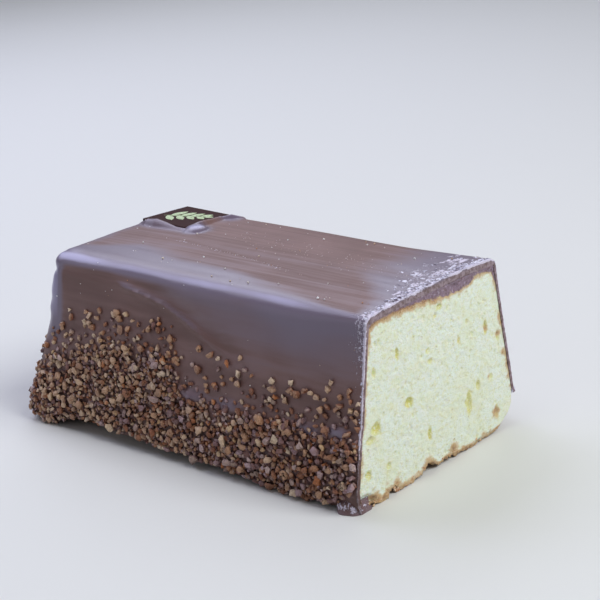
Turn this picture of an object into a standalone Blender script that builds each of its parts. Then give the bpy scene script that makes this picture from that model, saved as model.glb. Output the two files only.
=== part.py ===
"""Half of a loaf cake, cut across, in a milk chocolate coating with chopped nuts round its sides.

The loaf stands as it was turned out of its tin: the tin's narrow base is the cake's flat top, and the
crust that rose above the tin is its rough underside. +X runs along the loaf to the cut face, -Y is the
long side with most nuts, +Z is up, and the origin is under the middle of the cake. Metres throughout.
"""

import math
import random

import bmesh
import bpy
from mathutils import Euler, Vector, noise

MM = 0.001

# The loaf, over its coating. A 30 cm loaf tin flares from base to mouth, and so do these sides.
TOP_LENGTH = 159 * MM
BASE_LENGTH = 171 * MM
TOP_WIDTH = 74 * MM
BASE_WIDTH = 97 * MM
RIM_HEIGHT = 67.6 * MM  # at the rim of the top
CROWN = 1.2 * MM  # how much higher the middle of the top stands
CUT_X = 86.6 * MM  # the knife's plane
OVERCUT = 6 * MM  # how far each block runs past the knife before it is cut

# The coating and its edges
ICING = 1.8 * MM
RIM_RADIUS = 4.0 * MM
CORNER_RADIUS = 8.0 * MM
RIM_FACETS = 3
CORNER_FACETS = 4
GAP = 0.3 * MM  # between pieces that touch
TUCK = 3.0 * MM  # how far the sides draw in at the foot
TUCK_HEIGHT = 9 * MM

# The near far corner, where coating and nuts ran down and set in a heap round its foot
HEAP = Vector((-1.6, -1.9, 0)) * MM  # how far it stands out
HEAP_PLACE = (-72 * MM, -46 * MM)
HEAP_REACH = 13 * MM
HEAP_HEIGHTS = (12 * MM, 20 * MM)  # whole up to the first, gone from the second on
HEAP_SPREAD = 0.2  # how much more of it there is on the board
HEAP_UNDER = 0.8  # the share of it that the sponge follows

# The sponge's rounded lower edges, where the crust curled out of the tin
NEAR_SHOULDER = 3.5 * MM
FAR_SHOULDER = 15 * MM
END_SHOULDER = 6 * MM
CRUST_RELIEF = 2.2 * MM  # hills and hollows of the underside, pressed flat where they reach the board
CRUST_GRAIN = 26 * MM  # width of one hill
CRUST_HEIGHT = 14 * MM  # the relief is felt up to here
UNDERSIDE_FADE = 14 * MM  # how far the cut's own ragged outline runs into the loaf

# The plaque of dark chocolate, near the far corner of the top
PLAQUE_SIZE = (25.6 * MM, 25 * MM, 2.3 * MM)
PLAQUE_CENTRE = (-54.6 * MM, 21.4 * MM, 67.9 * MM)
PLAQUE_TURN = (math.radians(-2.4), 0, math.radians(-2.9))
POCKET_HEIGHT = 3 * MM  # how far above the plaque its pocket is kept clear

# Chopped nuts: the largest of them, spread evenly where the cake has them
NUT_COUNT = 340
NUT_SIZES = (2.4 * MM, 3.5 * MM)
NUT_FLATNESS = 0.7  # they lie on their flat sides
NUT_UNEVENNESS = 0.16  # how far its corners stray, as a share of its size
NUT_SUNK = 1.1 * MM  # how deep a nut is pressed into the coating
NUT_BAND = (1.5 * MM, 52 * MM)  # heights that hold them all
NUT_ABOVE_HEM = 1.2 * MM
FAR_STRAYS = 8 * MM  # how far strays reach above the far side's line
STRAY_SHARE = 0.14
NUT_TRIES = 24  # places tried for each nut
SEED = 6

# Lumps of coating, as their centres and half sizes in mm
FOOT = ((84.6, -42.3, 0.4), (9.0, 5.3, 2.0))  # what ran in under the cut's near corner
MOUND = ((-38.7, 11.8, 68.0), (4.2, 5.2, 1.5))  # at the plaque's front corner
FAR_DRIP = ((84.6, 46.2, 13.2), (2.4, 1.9, 1.6))  # where the coating ends on the cut's far side

FAR = 0.2  # well clear of the whole cake
STATION = 15 * MM  # spacing of the loops that the blocks are shaped with
FOOT_LOOPS = (3 * MM, 6 * MM, 9 * MM)  # closer loops where the sides draw in
SHOULDER_LOOPS = (2 * MM, 5 * MM, 9 * MM)  # and round the sponge's lower edges

# Heights along the loaf, as (x, z) in mm. The coating's lower edge, the line up to which nuts lie
# close together, and the line up to which single nuts are scattered.
NEAR_HEM = ((-78, 2.5), (-71, 0.6), (-58, 0.5), (-49, 4.6), (-40, 6.2), (-26, 4.6), (4, 3.2), (24, 2.6),
            (40, 1.2), (54, 0.2), (70, 1.4), (81, 1.2), (92, 0.2))
FAR_HEM = ((-78, 2.5), (-36, 3.5), (4, 5.0), (44, 8.0), (70, 11.0), (92, 12.5))
NEAR_NUT_LINE = ((-78, 30), (-65, 33), (-54, 39), (-31, 45), (-9, 47), (-2, 42), (2, 27), (12, 22.5),
                 (37, 23), (56, 23), (74, 24), (92, 27))
NEAR_STRAY_LINE = ((-78, 40), (-60, 44), (-49, 49), (-14, 51), (-1, 44), (11, 43), (31, 45), (36, 36),
                   (52, 41), (72, 45), (92, 41))
FAR_NUT_LINE = ((-78, 30), (-56, 36), (-26, 33), (4, 30), (34, 24), (64, 18), (92, 14))

# The ragged lower outline of the cut face, as (y, z) in mm
CUT_UNDERSIDE = ((-43, 1.6), (-39.5, 0), (-35.5, 0.3), (-33.7, 1.8), (-31.4, 3.4), (-28.7, 3.0), (-26, 0.5),
                 (-19, 0.3), (-14.4, 1.1), (-10.9, 2.0), (-8.3, 4.2), (-6, 3.8), (-1.4, 1.3), (4.7, 1.8),
                 (10.8, 1.3), (17, 0.8), (23.4, 0.8), (27.8, 0.2), (31.8, 0.6), (37, 1.0))

# Open holes in the cut crumb, as (y, z, width, height) in mm
HOLES = ((12.4, 63.6, 4.6, 3.4), (30, 43.4, 2.2, 4.6), (37.6, 37.7, 2.0, 3.4), (18.2, 18.0, 2.8, 6.6),
         (-16.6, 30.6, 3.6, 3.2), (-35.3, 27.5, 4.2, 3.8), (-21.6, 50.2, 1.8, 3.8), (24.2, 22.8, 2.2, 3.6),
         (35.2, 8.4, 2.4, 4.2), (-5.7, 14.7, 2.0, 4.0))
HOLE_DEPTH = 1.4 * MM

# Waves of coating round the plaque, as (x, y, z, thickness) in mm along their crests
FRONT_WAVE = ((-66.9, 8.7, 67.7, 1.0), (-62.9, 8.3, 68.8, 1.6), (-57.9, 8.0, 69.3, 1.8),
              (-52.9, 7.9, 68.8, 1.6), (-46.9, 7.4, 68.2, 1.3), (-41.9, 7.2, 68.2, 1.2))
SIDE_WAVE = ((-41.5, 10, 68.4, 1.3), (-41.1, 16, 68.6, 1.6), (-40.7, 22, 68.4, 1.3), (-40.5, 27, 68.2, 1.2))
CURLED_LIP = ((-41.1, 27.5, 67.9, 1.0), (-38.1, 31, 68.3, 1.2), (-34.5, 33.6, 67.2, 1.1))

MILK_CHOCOLATE = (0.16, 0.085, 0.06)
DARK_CHOCOLATE = (0.035, 0.018, 0.014)
CRUMB = (0.88, 0.78, 0.42)


def along(line, place):
    """Height at this place on a line of (place, height) points in mm, straight between them."""
    place = place / MM
    if place <= line[0][0]:
        return line[0][1] * MM
    for (a, low), (b, high) in zip(line, line[1:]):
        if place <= b:
            return (low + (high - low) * (place - a) / (b - a)) * MM
    return line[-1][1] * MM


def half_width(z):
    """Half the coated loaf's width at height z: it flares downwards and draws in at the foot."""
    flare = (BASE_WIDTH - TOP_WIDTH) / 2 * (1 - z / RIM_HEIGHT)
    tuck = TUCK * max(0.0, 1 - z / TUCK_HEIGHT) ** 2
    return TOP_WIDTH / 2 + flare - tuck


def end_length(z):
    """Distance from the knife's plane back to the coated loaf's end at height z."""
    flare = (BASE_LENGTH - TOP_LENGTH) * (1 - z / RIM_HEIGHT)
    tuck = TUCK * max(0.0, 1 - z / TUCK_HEIGHT) ** 2
    return TOP_LENGTH + flare - tuck


def heap(x, y, z):
    """How far the heap at the foot of the near far corner pushes a point out."""
    off = ((x - HEAP_PLACE[0]) / HEAP_REACH) ** 4 + ((y - HEAP_PLACE[1]) / HEAP_REACH) ** 4
    whole, gone = HEAP_HEIGHTS
    fade = min(1.0, max(0.0, (gone - z) / (gone - whole)))
    spread = 1 + HEAP_SPREAD * max(0.0, 1 - z / TUCK_HEIGHT)
    return HEAP * math.exp(-off) * fade * spread


def hem(x, y):
    """Height of the coating's lower edge, from the near side's line to the far side's across the end."""
    across = min(1.0, max(0.0, 0.5 + y / BASE_WIDTH))
    return (1 - across) * along(NEAR_HEM, x) + across * along(FAR_HEM, x)


def crown(x, y, z):
    """How far the top swells above its rim, fading out down the sides."""
    across = min(1.0, abs(y) / (TOP_WIDTH / 2))
    back = min(1.0, max(0.0, (CUT_X - x) / TOP_LENGTH))
    return CROWN * (1 - across**3) * (1 - back**6) * max(0.0, z / RIM_HEIGHT) ** 4


def round_shoulder(z, radius):
    """How far a rounded lower edge of this radius draws in at height z."""
    if z >= radius:
        return 0.0
    return radius - math.sqrt(radius**2 - (radius - max(0.0, z)) ** 2)


def activate(obj):
    bpy.ops.object.select_all(action="DESELECT")
    obj.select_set(True)
    bpy.context.view_layer.objects.active = obj


def apply_modifiers(obj):
    activate(obj)
    for modifier in list(obj.modifiers):
        bpy.ops.object.modifier_apply(modifier=modifier.name)


def box(name, low, high):
    """A cube primitive stretched between two corners, with its scale applied."""
    low, high = Vector(low), Vector(high)
    bpy.ops.mesh.primitive_cube_add(size=1, location=(low + high) / 2)
    obj = bpy.context.object
    obj.name = obj.data.name = name
    obj.scale = high - low
    bpy.ops.object.transform_apply(location=True, rotation=True, scale=True)
    return obj


def round_edges(mesh, chosen, radius, segments):
    """Rounds the edges for which chosen, given the edge's middle and its direction, is true."""
    edges = []
    for edge in mesh.edges:
        a, b = (v.co for v in edge.verts)
        if chosen((a + b) / 2, (b - a).normalized()):
            edges.append(edge)
    bmesh.ops.bevel(mesh, geom=edges, offset=radius, segments=segments, profile=0.5, affect="EDGES")


def slice_block(mesh, axis, places):
    """Cuts a loop round the block at each place along an axis (0, 1 or 2)."""
    normal = Vector((0, 0, 0))
    normal[axis] = 1
    for place in places:
        geometry = mesh.verts[:] + mesh.edges[:] + mesh.faces[:]
        bmesh.ops.bisect_plane(mesh, geom=geometry, plane_co=normal * place, plane_no=normal, dist=1e-6)


def steps(low, high, spacing):
    """Evenly spaced places strictly between two limits."""
    count = max(1, round((high - low) / spacing))
    return [low + (high - low) * i / count for i in range(1, count)]


def rounded_block(name, inset, heights, widths):
    """The straight block that a loaf is flared from, rounded round the top and at the far end's corners.

    It lies inset inside the coated loaf. heights and widths are the places of its loops along Z and Y.
    """
    half = TOP_WIDTH / 2 - inset
    top = RIM_HEIGHT - inset
    back = CUT_X - TOP_LENGTH + inset
    front = CUT_X + OVERCUT
    block = box(name, (back, -half, 0), (front, half, top))
    mesh = bmesh.new()
    mesh.from_mesh(block.data)
    hair = 1e-5

    def is_corner(middle, direction):
        return abs(direction.z) > 0.9 and middle.x < back + hair

    def is_rim(middle, direction):
        return abs(direction.z) < 0.1 and middle.z > top - hair and middle.x < front - hair

    round_edges(mesh, is_corner, CORNER_RADIUS - inset / 2, CORNER_FACETS)
    round_edges(mesh, is_rim, RIM_RADIUS - inset, RIM_FACETS)
    slice_block(mesh, 0, steps(back, front, STATION))
    slice_block(mesh, 1, widths)
    slice_block(mesh, 2, heights)
    mesh.to_mesh(block.data)
    mesh.free()
    return block


def flare(block, inset, settle, shoulder):
    """Spreads a straight block into the loaf's flared shape.

    settle gives a point's height, and shoulder(p, z) how far the sides draw in there, as (across, back).
    """
    for vertex in block.data.vertices:
        p = vertex.co
        z = settle(p)
        across, back = shoulder(p, z)
        widen = (half_width(z) - inset - across) / (TOP_WIDTH / 2 - inset)
        lengthen = (end_length(z) - inset - back) / (TOP_LENGTH - inset)
        x = CUT_X - (CUT_X - p.x) * (lengthen if p.x < CUT_X else 1)
        y = p.y * widen
        follows = HEAP_UNDER if inset else 1
        vertex.co = Vector((x, y, z + crown(x, y, z))) + heap(x, y, z) * follows


def icing_shell():
    """The coating's skin: the loaf's outer surface, open at the cut and below its hem, thickened inwards."""
    heights = [*FOOT_LOOPS, *steps(0, RIM_HEIGHT - RIM_RADIUS, STATION)]
    widths = steps(-TOP_WIDTH / 2, TOP_WIDTH / 2, STATION)
    shell = rounded_block("chocolate_coating", 0, heights, widths)
    mesh = bmesh.new()
    mesh.from_mesh(shell.data)
    open_faces = [f for f in mesh.faces if f.normal.z < -0.9 or f.normal.x > 0.9]
    bmesh.ops.delete(mesh, geom=open_faces, context="FACES")
    mesh.to_mesh(shell.data)
    mesh.free()

    def settle(p):
        return p.z + hem(p.x, p.y * BASE_WIDTH / TOP_WIDTH) * (1 - p.z / RIM_HEIGHT)

    flare(shell, 0, settle, lambda p, z: (0, 0))
    skin = shell.modifiers.new("Solidify", "SOLIDIFY")
    skin.thickness = ICING
    skin.offset = -1
    skin.use_even_offset = True
    return shell


def underside(x, y):
    """Height of the rough crust under the sponge: the cut's outline, and rolling relief behind it."""
    outline = along(CUT_UNDERSIDE, y)
    rolling = CRUST_RELIEF * (0.1 + noise.noise(Vector((x, y, 0)) / CRUST_GRAIN))
    inwards = min(1.0, max(0.0, (CUT_X - x) / UNDERSIDE_FADE))
    return (1 - inwards) * outline + inwards * rolling


def sponge_block():
    """The cake inside the coating, with its rounded lower edges and rough crust underneath."""
    inset = ICING + GAP
    spread = (half_width(0) + TUCK) / (TOP_WIDTH / 2)
    heights = [*SHOULDER_LOOPS, *steps(0, RIM_HEIGHT - RIM_RADIUS, STATION)]
    widths = [y * MM / spread for y, _ in CUT_UNDERSIDE]
    block = rounded_block("cake_sponge", inset, heights, widths)

    def settle(p):
        return p.z + underside(p.x, p.y * spread) * max(0.0, 1 - p.z / CRUST_HEIGHT)

    def shoulder(p, z):
        side = FAR_SHOULDER if p.y > 0 else NEAR_SHOULDER
        return round_shoulder(p.z, side), round_shoulder(p.z, END_SHOULDER)

    flare(block, inset, settle, shoulder)
    return block


def skin_point(run, z):
    """A point on the coating's side and the way it faces, run metres back from the knife on the near side.

    The path turns the near corner, crosses the end, and comes forward again on the far side.
    """
    half, back = half_width(z), CUT_X - end_length(z)
    straight = CUT_X - back - CORNER_RADIUS
    arc = CORNER_RADIUS * math.pi / 2
    across = 2 * (half - CORNER_RADIUS)
    if run < straight:
        return Vector((CUT_X - run, -half, z)), Vector((0, -1, 0))
    run -= straight
    if run < arc:
        way = Vector((-math.sin(run / CORNER_RADIUS), -math.cos(run / CORNER_RADIUS), 0))
        return Vector((back + CORNER_RADIUS, -half + CORNER_RADIUS, z)) + way * CORNER_RADIUS, way
    run -= arc
    if run < across:
        return Vector((back, -half + CORNER_RADIUS + run, z)), Vector((-1, 0, 0))
    run -= across
    if run < arc:
        way = Vector((-math.cos(run / CORNER_RADIUS), math.sin(run / CORNER_RADIUS), 0))
        return Vector((back + CORNER_RADIUS, half - CORNER_RADIUS, z)) + way * CORNER_RADIUS, way
    run -= arc
    return Vector((back + CORNER_RADIUS + run, half, z)), Vector((0, 1, 0))


def nut_places(draw):
    """Places for the nuts, each the one of several random tries that is furthest from those placed."""
    around = 2 * BASE_LENGTH + BASE_WIDTH
    places = []
    while len(places) < NUT_COUNT:
        stray = len(places) < STRAY_SHARE * NUT_COUNT
        best = None
        for _ in range(NUT_TRIES):
            z = draw.uniform(*NUT_BAND)
            point, way = skin_point(draw.uniform(0, around), z)
            point += heap(*point)
            near = point.y < 0
            line = along(NEAR_NUT_LINE if near else FAR_NUT_LINE, point.x)
            strays_to = along(NEAR_STRAY_LINE, point.x) if near else line + FAR_STRAYS
            low, high = (line, strays_to) if stray else (hem(point.x, point.y) + NUT_ABOVE_HEM, line)
            if not low < z < high or point.x > CUT_X:
                continue
            room = min(((point - other).length for other, _ in places), default=1.0)
            if best is None or room > best[0]:
                best = (room, point, way)
        if best:
            places.append(best[1:])
    return places


def chopped_nut(name, point, way, size, draw):
    """A chopped lump of nut with uneven corners, turned at random and pressed into the coating at point."""
    bpy.ops.mesh.primitive_cube_add(size=size, location=(0, 0, 0))
    nut = bpy.context.object
    nut.name = name
    for vertex in nut.data.vertices:
        vertex.co += Vector([draw.uniform(-1, 1) * size * NUT_UNEVENNESS for _ in range(3)])
    nut.rotation_euler = Euler([draw.uniform(0, math.tau) for _ in range(3)])
    nut.scale = (draw.uniform(0.75, 1.1), draw.uniform(0.75, 1.1), draw.uniform(0.9, 1.3))
    bpy.ops.object.transform_apply(location=True, rotation=True, scale=True)
    for vertex in nut.data.vertices:
        vertex.co -= way * way.dot(vertex.co) * (1 - NUT_FLATNESS)
    reach = max(-way.dot(vertex.co) for vertex in nut.data.vertices)
    nut.location = point + way * (reach - NUT_SUNK)
    return nut


def wave(name, crest):
    """A rounded wave of coating, as a tube along its crest that is half sunk in the top."""
    curve = bpy.data.curves.new(name, "CURVE")
    curve.dimensions = "3D"
    curve.bevel_depth = MM
    curve.bevel_resolution = 2
    curve.use_fill_caps = True
    spline = curve.splines.new("POLY")
    spline.points.add(len(crest) - 1)
    for spot, (x, y, z, thick) in zip(spline.points, crest):
        spot.co = (x * MM, y * MM, z * MM, 1)
        spot.radius = thick
    tube = bpy.data.objects.new(name, curve)
    bpy.context.scene.collection.objects.link(tube)
    bpy.context.view_layer.update()
    solid = bpy.data.meshes.new_from_object(tube.evaluated_get(bpy.context.evaluated_depsgraph_get()))
    mesh = bmesh.new()
    mesh.from_mesh(solid)
    bmesh.ops.remove_doubles(mesh, verts=mesh.verts, dist=1e-6)
    mesh.to_mesh(solid)
    mesh.free()
    made = bpy.data.objects.new(name, solid)
    made.matrix_world = tube.matrix_world
    bpy.context.scene.collection.objects.link(made)
    bpy.data.objects.remove(tube)
    return made


def blob(name, centre, radii, margin=0.0):
    """A smooth flattened lump of coating, or with a margin the room that it needs."""
    bpy.ops.mesh.primitive_ico_sphere_add(subdivisions=2, radius=1, location=[c * MM for c in centre])
    lump = bpy.context.object
    lump.name = name
    lump.scale = [r * MM + margin for r in radii]
    bpy.ops.object.transform_apply(location=False, rotation=False, scale=True)
    return lump


def coating_extras(draw):
    """What is fused to the coating: waves round the plaque, its foot and drip at the cut, and the nuts."""
    extras = [
        wave("front_wave", FRONT_WAVE),
        wave("side_wave", SIDE_WAVE),
        wave("curled_lip", CURLED_LIP),
        blob("foot", *FOOT),
        blob("mound", *MOUND),
        blob("far_drip", *FAR_DRIP),
    ]
    for i, (point, way) in enumerate(nut_places(draw)):
        extras.append(chopped_nut(f"nut_{i:03d}", point, way, draw.uniform(*NUT_SIZES), draw))
    return extras


def plaque_block(name, margin):
    """The plaque's slab, or with a margin the pocket it is pressed into."""
    along_x, along_y, thick = PLAQUE_SIZE
    low = (-along_x / 2 - margin, -along_y / 2 - margin, -thick / 2 - margin)
    high = (along_x / 2 + margin, along_y / 2 + margin, thick / 2 + (POCKET_HEIGHT if margin else 0))
    slab = box(name, low, high)
    slab.location = PLAQUE_CENTRE
    slab.rotation_euler = PLAQUE_TURN
    return slab


def hole_cutter(name, y, z, width, height):
    """A shallow lens that opens one hole in the cut crumb."""
    bpy.ops.mesh.primitive_ico_sphere_add(subdivisions=1, radius=1, location=(CUT_X, y * MM, z * MM))
    lens = bpy.context.object
    lens.name = name
    lens.scale = (HOLE_DEPTH, width * MM / 2, height * MM / 2)
    bpy.ops.object.transform_apply(location=False, rotation=False, scale=True)
    return lens


def board_block():
    """Everything below the board that the cake stands on."""
    return box("board", (-FAR, -FAR, -FAR), (FAR, FAR, 0))


def knife_block():
    """Everything past the knife's plane."""
    return box("knife", (CUT_X, -FAR, -FAR), (CUT_X + FAR, FAR, FAR))


def new_collection(name):
    collection = bpy.data.collections.new(name)
    bpy.context.scene.collection.children.link(collection)
    return collection


def move_to(obj, collection):
    for old in list(obj.users_collection):
        old.objects.unlink(obj)
    collection.objects.link(obj)


def as_cutter(obj, collection):
    move_to(obj, collection)
    obj.hide_render = True
    obj.display_type = "WIRE"
    return obj


def boolean(obj, operation, other=None, collection=None, solver="EXACT"):
    modifier = obj.modifiers.new(operation.title(), "BOOLEAN")
    modifier.operation = operation
    modifier.solver = solver
    if collection:
        modifier.operand_type = "COLLECTION"
        modifier.collection = collection
    else:
        modifier.object = other


def keep_largest_shell(obj):
    """Fills the hollows that pieces seal between them and drops loose scraps: each is a shell of its own."""
    mesh = bmesh.new()
    mesh.from_mesh(obj.data)
    unseen = set(mesh.verts)
    shells = []
    while unseen:
        shell = {unseen.pop()}
        edge_of_shell = list(shell)
        while edge_of_shell:
            vertex = edge_of_shell.pop()
            for other in (e.other_vert(vertex) for e in vertex.link_edges):
                if other not in shell:
                    shell.add(other)
                    edge_of_shell.append(other)
        unseen -= shell
        shells.append(shell)
    largest = max(shells, key=len)
    bmesh.ops.delete(mesh, geom=[v for v in mesh.verts if v not in largest], context="VERTS")
    mesh.to_mesh(obj.data)
    mesh.free()


def finish(obj, colour, roughness):
    """One material for the piece, and shading that keeps its facets crisp and its curves smooth."""
    material = bpy.data.materials.new(obj.name)
    material.use_nodes = True
    shader = material.node_tree.nodes["Principled BSDF"]
    shader.inputs["Base Color"].default_value = (*colour, 1)
    shader.inputs["Roughness"].default_value = roughness
    shader.inputs["Metallic"].default_value = 0
    obj.data.materials.clear()
    obj.data.materials.append(material)
    obj.data.shade_smooth()
    obj.data.set_sharp_from_angle(angle=math.radians(35))


def make_coating(parts, cutters):
    draw = random.Random(SEED)
    coating = icing_shell()
    extras = new_collection("coating_extras")
    for piece in coating_extras(draw):
        move_to(piece, extras)
    boolean(coating, "UNION", collection=extras, solver="MANIFOLD")
    apply_modifiers(coating)
    for piece in list(extras.objects):
        bpy.data.objects.remove(piece)
    bpy.data.collections.remove(extras)

    for tool in (plaque_block("pocket", GAP), board_block(), knife_block()):
        boolean(coating, "DIFFERENCE", as_cutter(tool, cutters), solver="MANIFOLD")
    apply_modifiers(coating)
    keep_largest_shell(coating)
    move_to(coating, parts)
    finish(coating, MILK_CHOCOLATE, 0.35)


def make_sponge(parts, cutters):
    sponge = sponge_block()
    for tool in (blob("foot_room", *FOOT, margin=GAP), board_block(), knife_block()):
        boolean(sponge, "DIFFERENCE", as_cutter(tool, cutters))
    holes = new_collection("holes")
    for i, hole in enumerate(HOLES):
        as_cutter(hole_cutter(f"hole_{i}", *hole), holes)
    boolean(sponge, "DIFFERENCE", collection=holes)
    move_to(sponge, parts)
    finish(sponge, CRUMB, 0.9)


def make_plaque(parts):
    plaque = plaque_block("chocolate_plaque", 0)
    edge = plaque.modifiers.new("Bevel", "BEVEL")
    edge.width = 0.4 * MM
    edge.segments = 2
    move_to(plaque, parts)
    finish(plaque, DARK_CHOCOLATE, 0.3)


def main():
    for obj in list(bpy.data.objects):
        bpy.data.objects.remove(obj)
    parts = new_collection("half_chocolate_cake")
    cutters = new_collection("cutters")
    make_coating(parts, cutters)
    make_sponge(parts, cutters)
    make_plaque(parts)


main()
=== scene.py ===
"""The looks of half a loaf cake: its milk chocolate coat with chopped nuts, its cut crumb and its plaque.

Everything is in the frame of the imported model, with +X along the loaf to the cut, -Y the long side with
most nuts and +Z up. Sizes and places are in millimetres, and a mesh takes them in metres at the last step.
"""

import math
import random

import bpy
import numpy as np
from mathutils import Matrix, Quaternion, Vector, noise
from mathutils.bvhtree import BVHTree


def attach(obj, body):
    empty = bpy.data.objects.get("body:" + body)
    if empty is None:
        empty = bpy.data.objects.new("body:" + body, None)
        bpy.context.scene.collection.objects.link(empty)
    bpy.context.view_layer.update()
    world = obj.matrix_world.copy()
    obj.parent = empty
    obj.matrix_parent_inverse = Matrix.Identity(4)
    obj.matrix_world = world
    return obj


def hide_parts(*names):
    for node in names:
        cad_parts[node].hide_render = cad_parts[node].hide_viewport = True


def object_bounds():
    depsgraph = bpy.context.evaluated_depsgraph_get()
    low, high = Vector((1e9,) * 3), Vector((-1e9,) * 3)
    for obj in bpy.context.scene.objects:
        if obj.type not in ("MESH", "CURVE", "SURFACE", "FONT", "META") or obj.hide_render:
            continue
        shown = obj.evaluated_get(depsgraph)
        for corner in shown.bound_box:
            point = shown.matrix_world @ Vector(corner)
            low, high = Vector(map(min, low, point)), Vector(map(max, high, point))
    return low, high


MM = 0.001
SEED = 7

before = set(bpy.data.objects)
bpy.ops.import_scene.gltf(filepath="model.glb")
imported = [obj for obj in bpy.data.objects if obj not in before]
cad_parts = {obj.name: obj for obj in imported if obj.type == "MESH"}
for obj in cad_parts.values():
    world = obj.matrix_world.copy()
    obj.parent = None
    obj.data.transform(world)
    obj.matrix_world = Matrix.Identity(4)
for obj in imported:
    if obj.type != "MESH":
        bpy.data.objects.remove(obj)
CAD_LOW, CAD_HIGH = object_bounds()
LOW, HIGH = np.array(CAD_LOW) / MM, np.array(CAD_HIGH) / MM
MARGIN = 0.02  # how far inside that box a piece ends where it would reach its edge
FLAT = 0.9  # how squarely a face has to look along an axis to count as facing that way
DOWN, TO_CUT, TO_FAR_SIDE = (0, 0, -1), (1, 0, 0), (0, 1, 0)

# The loaf, over its coat, as the solids have it
TOP_LENGTH = 159
BASE_LENGTH = 171
TOP_WIDTH = 74
BASE_WIDTH = 97
RIM_HEIGHT = 67.6  # at the rim of the top
CROWN = 1.2
CUT_X = CAD_HIGH.x / MM  # the knife's plane
BACK_X = CUT_X - TOP_LENGTH
CORNER_RADIUS = 8
TUCK = 3  # how far the sides draw in at the foot
TUCK_HEIGHT = 9
HEAP = np.array((-1.6, -1.9, 0))  # how far the nuts heaped at the near corner of the uncut end stand out
HEAP_PLACE = (-72, -46)
HEAP_REACH = 13
HEAP_HEIGHTS = (12, 20)  # whole up to the first, gone from the second on
HEAP_SPREAD = 0.2
HEAP_UNDER = 0.8  # the share of it that the crumb follows
RIM_RADII = (2.6, 5.8)  # at the cut, and further back
RIM_EASES = 40  # how far from the cut the rim reaches its larger radius

# The coat's thickness on the top, the near side and the far side
TOP_ICING = 2.6
NEAR_ICING = 1.5
FAR_ICING = 1.2
BITE = 0.12  # how far the crumb reaches into the coat, so that no gap shows

# The crumb's height, its rounded lower edges and its rough underside
CRUMB_TOP = RIM_HEIGHT - TOP_ICING
NEAR_SHOULDER = 3.5
FAR_SHOULDER = 15
END_SHOULDER = 6
CRUST_RELIEF = 2.2
CRUST_GRAIN = 26
CRUST_HEIGHT = 14
UNDERSIDE_FADE = 14

# The even parts that a straight block is split into along x, y and z, round after round
COAT_PARTS = ((12, 13), (8, 9), (8, 8))
CRUMB_PARTS = ((6, 6), (13, 14), (12, 12))
CRUMB_SLICES = (0.6, 1.6)  # loops round the crumb, this far behind the cut

# The plaque of dark chocolate
PLAQUE_SIZE = (25.6, 25, 2.3)
PLAQUE_CENTRE = (-54.6, 21.4, 67.9)
PLAQUE_TURN = (math.radians(-2.4), 0, math.radians(-2.9))
PLAQUE_BORDER = 1  # how far the coat still reaches in under its edges
PLAQUE_BED = 1.4  # how far the coat lies below its centre

# Lumps of coating, as their centres and half sizes, and the painted sheen and gloss on two of them
FOOT = ((81.2, -43.4, 0.4), (6.4, 6.6, 6.0))
FAR_DRIP = ((84.6, 46.2, 13.2), (2.4, 1.9, 1.6))
MOUND = ((-38.0, 10.2, 68.3), (4.8, 5.2, 1.9))
FOOT_SHEEN, DRIP_SHEEN = 0.4, 1.8

# Heights along the loaf, as (x, z)
NEAR_HEM = (
    (-78, 2.5), (-71, 0.6), (-58, 0.5), (-49, 4.6), (-40, 6.2), (-26, 4.6), (4, 3.2), (24, 2.6), (40, 1.2),
    (54, 0.2), (70, 1.4), (81, 1.2), (92, 0.2))
FAR_HEM = ((-78, 2.5), (-36, 3.5), (4, 5.0), (44, 8.0), (70, 11.0), (92, 12.5))
NEAR_NUT_LINE = (
    (-78, 31), (-65, 35), (-54, 41), (-31, 47), (-9, 48), (-2, 42), (2, 30), (12, 27), (37, 29), (56, 29),
    (74, 30), (92, 32))
FAR_NUT_LINE = ((-78, 30), (-56, 36), (-26, 33), (4, 30), (34, 24), (64, 18), (92, 14))
DRAPE_RIDGE = ((-34, 61.3), (-20.8, 59.5), (-7.4, 57.1), (3, 53.3), (14, 48.4), (31.1, 41.9))

# Lines over the top, as (x, y)
TOP_CREASE = ((-50, -3.6), (-19.9, -6.0), (9.1, -9.2), (54.8, -17.5))
# The line where the painted lavender sheen along the near rim gives out
SHEEN_EDGE = ((-80, -26), (-60, -20), (-42, -12), (-12, -15), (17, -18), (46, -24), (69, -29), (87, -31))

# Where shapes on the coat come in and go out along x, as (from, whole) and (still whole, gone)
DRAPE_RUN = ((-38, -24), (8, 34))
GROOVE_RUN = ((-76, -66), (-46, -18))
# The run of the painted highlight along the drape's ridge
RIDGE_SHEEN_RUN = ((-38, -28), (-2, 24))
CREASE_RUN = ((-44, -36), (38, 46))
CREASE_SCUFF_RUN = ((-44, -36), (20, 46))

# The ragged lower outline of the cut face, and where its pale crumb begins under the top, as (y, z)
CUT_UNDERSIDE = (
    (-43, 1.6), (-39.5, 0), (-35.5, 0.3), (-33.7, 1.8), (-31.4, 3.4), (-28.7, 3.0), (-26, 0.5), (-19, 0.3),
    (-14.4, 1.1), (-10.9, 2.0), (-8.3, 4.2), (-6, 3.8), (-1.4, 1.3), (4.7, 1.8), (10.8, 1.3), (17, 0.8),
    (23.4, 0.8), (27.8, 0.2), (31.8, 0.6), (37, 1.0))
PALE_LINE = (
    (-36.2, 61.8), (-34.8, 64.6), (-30, 65.1), (-19.1, 64.9), (-8, 64.3), (3.4, 62.3), (9.2, 61.6),
    (15.2, 61.3), (21.3, 62), (25.7, 64.1), (30.7, 63.8), (35, 62.1), (37.1, 58))

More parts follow.
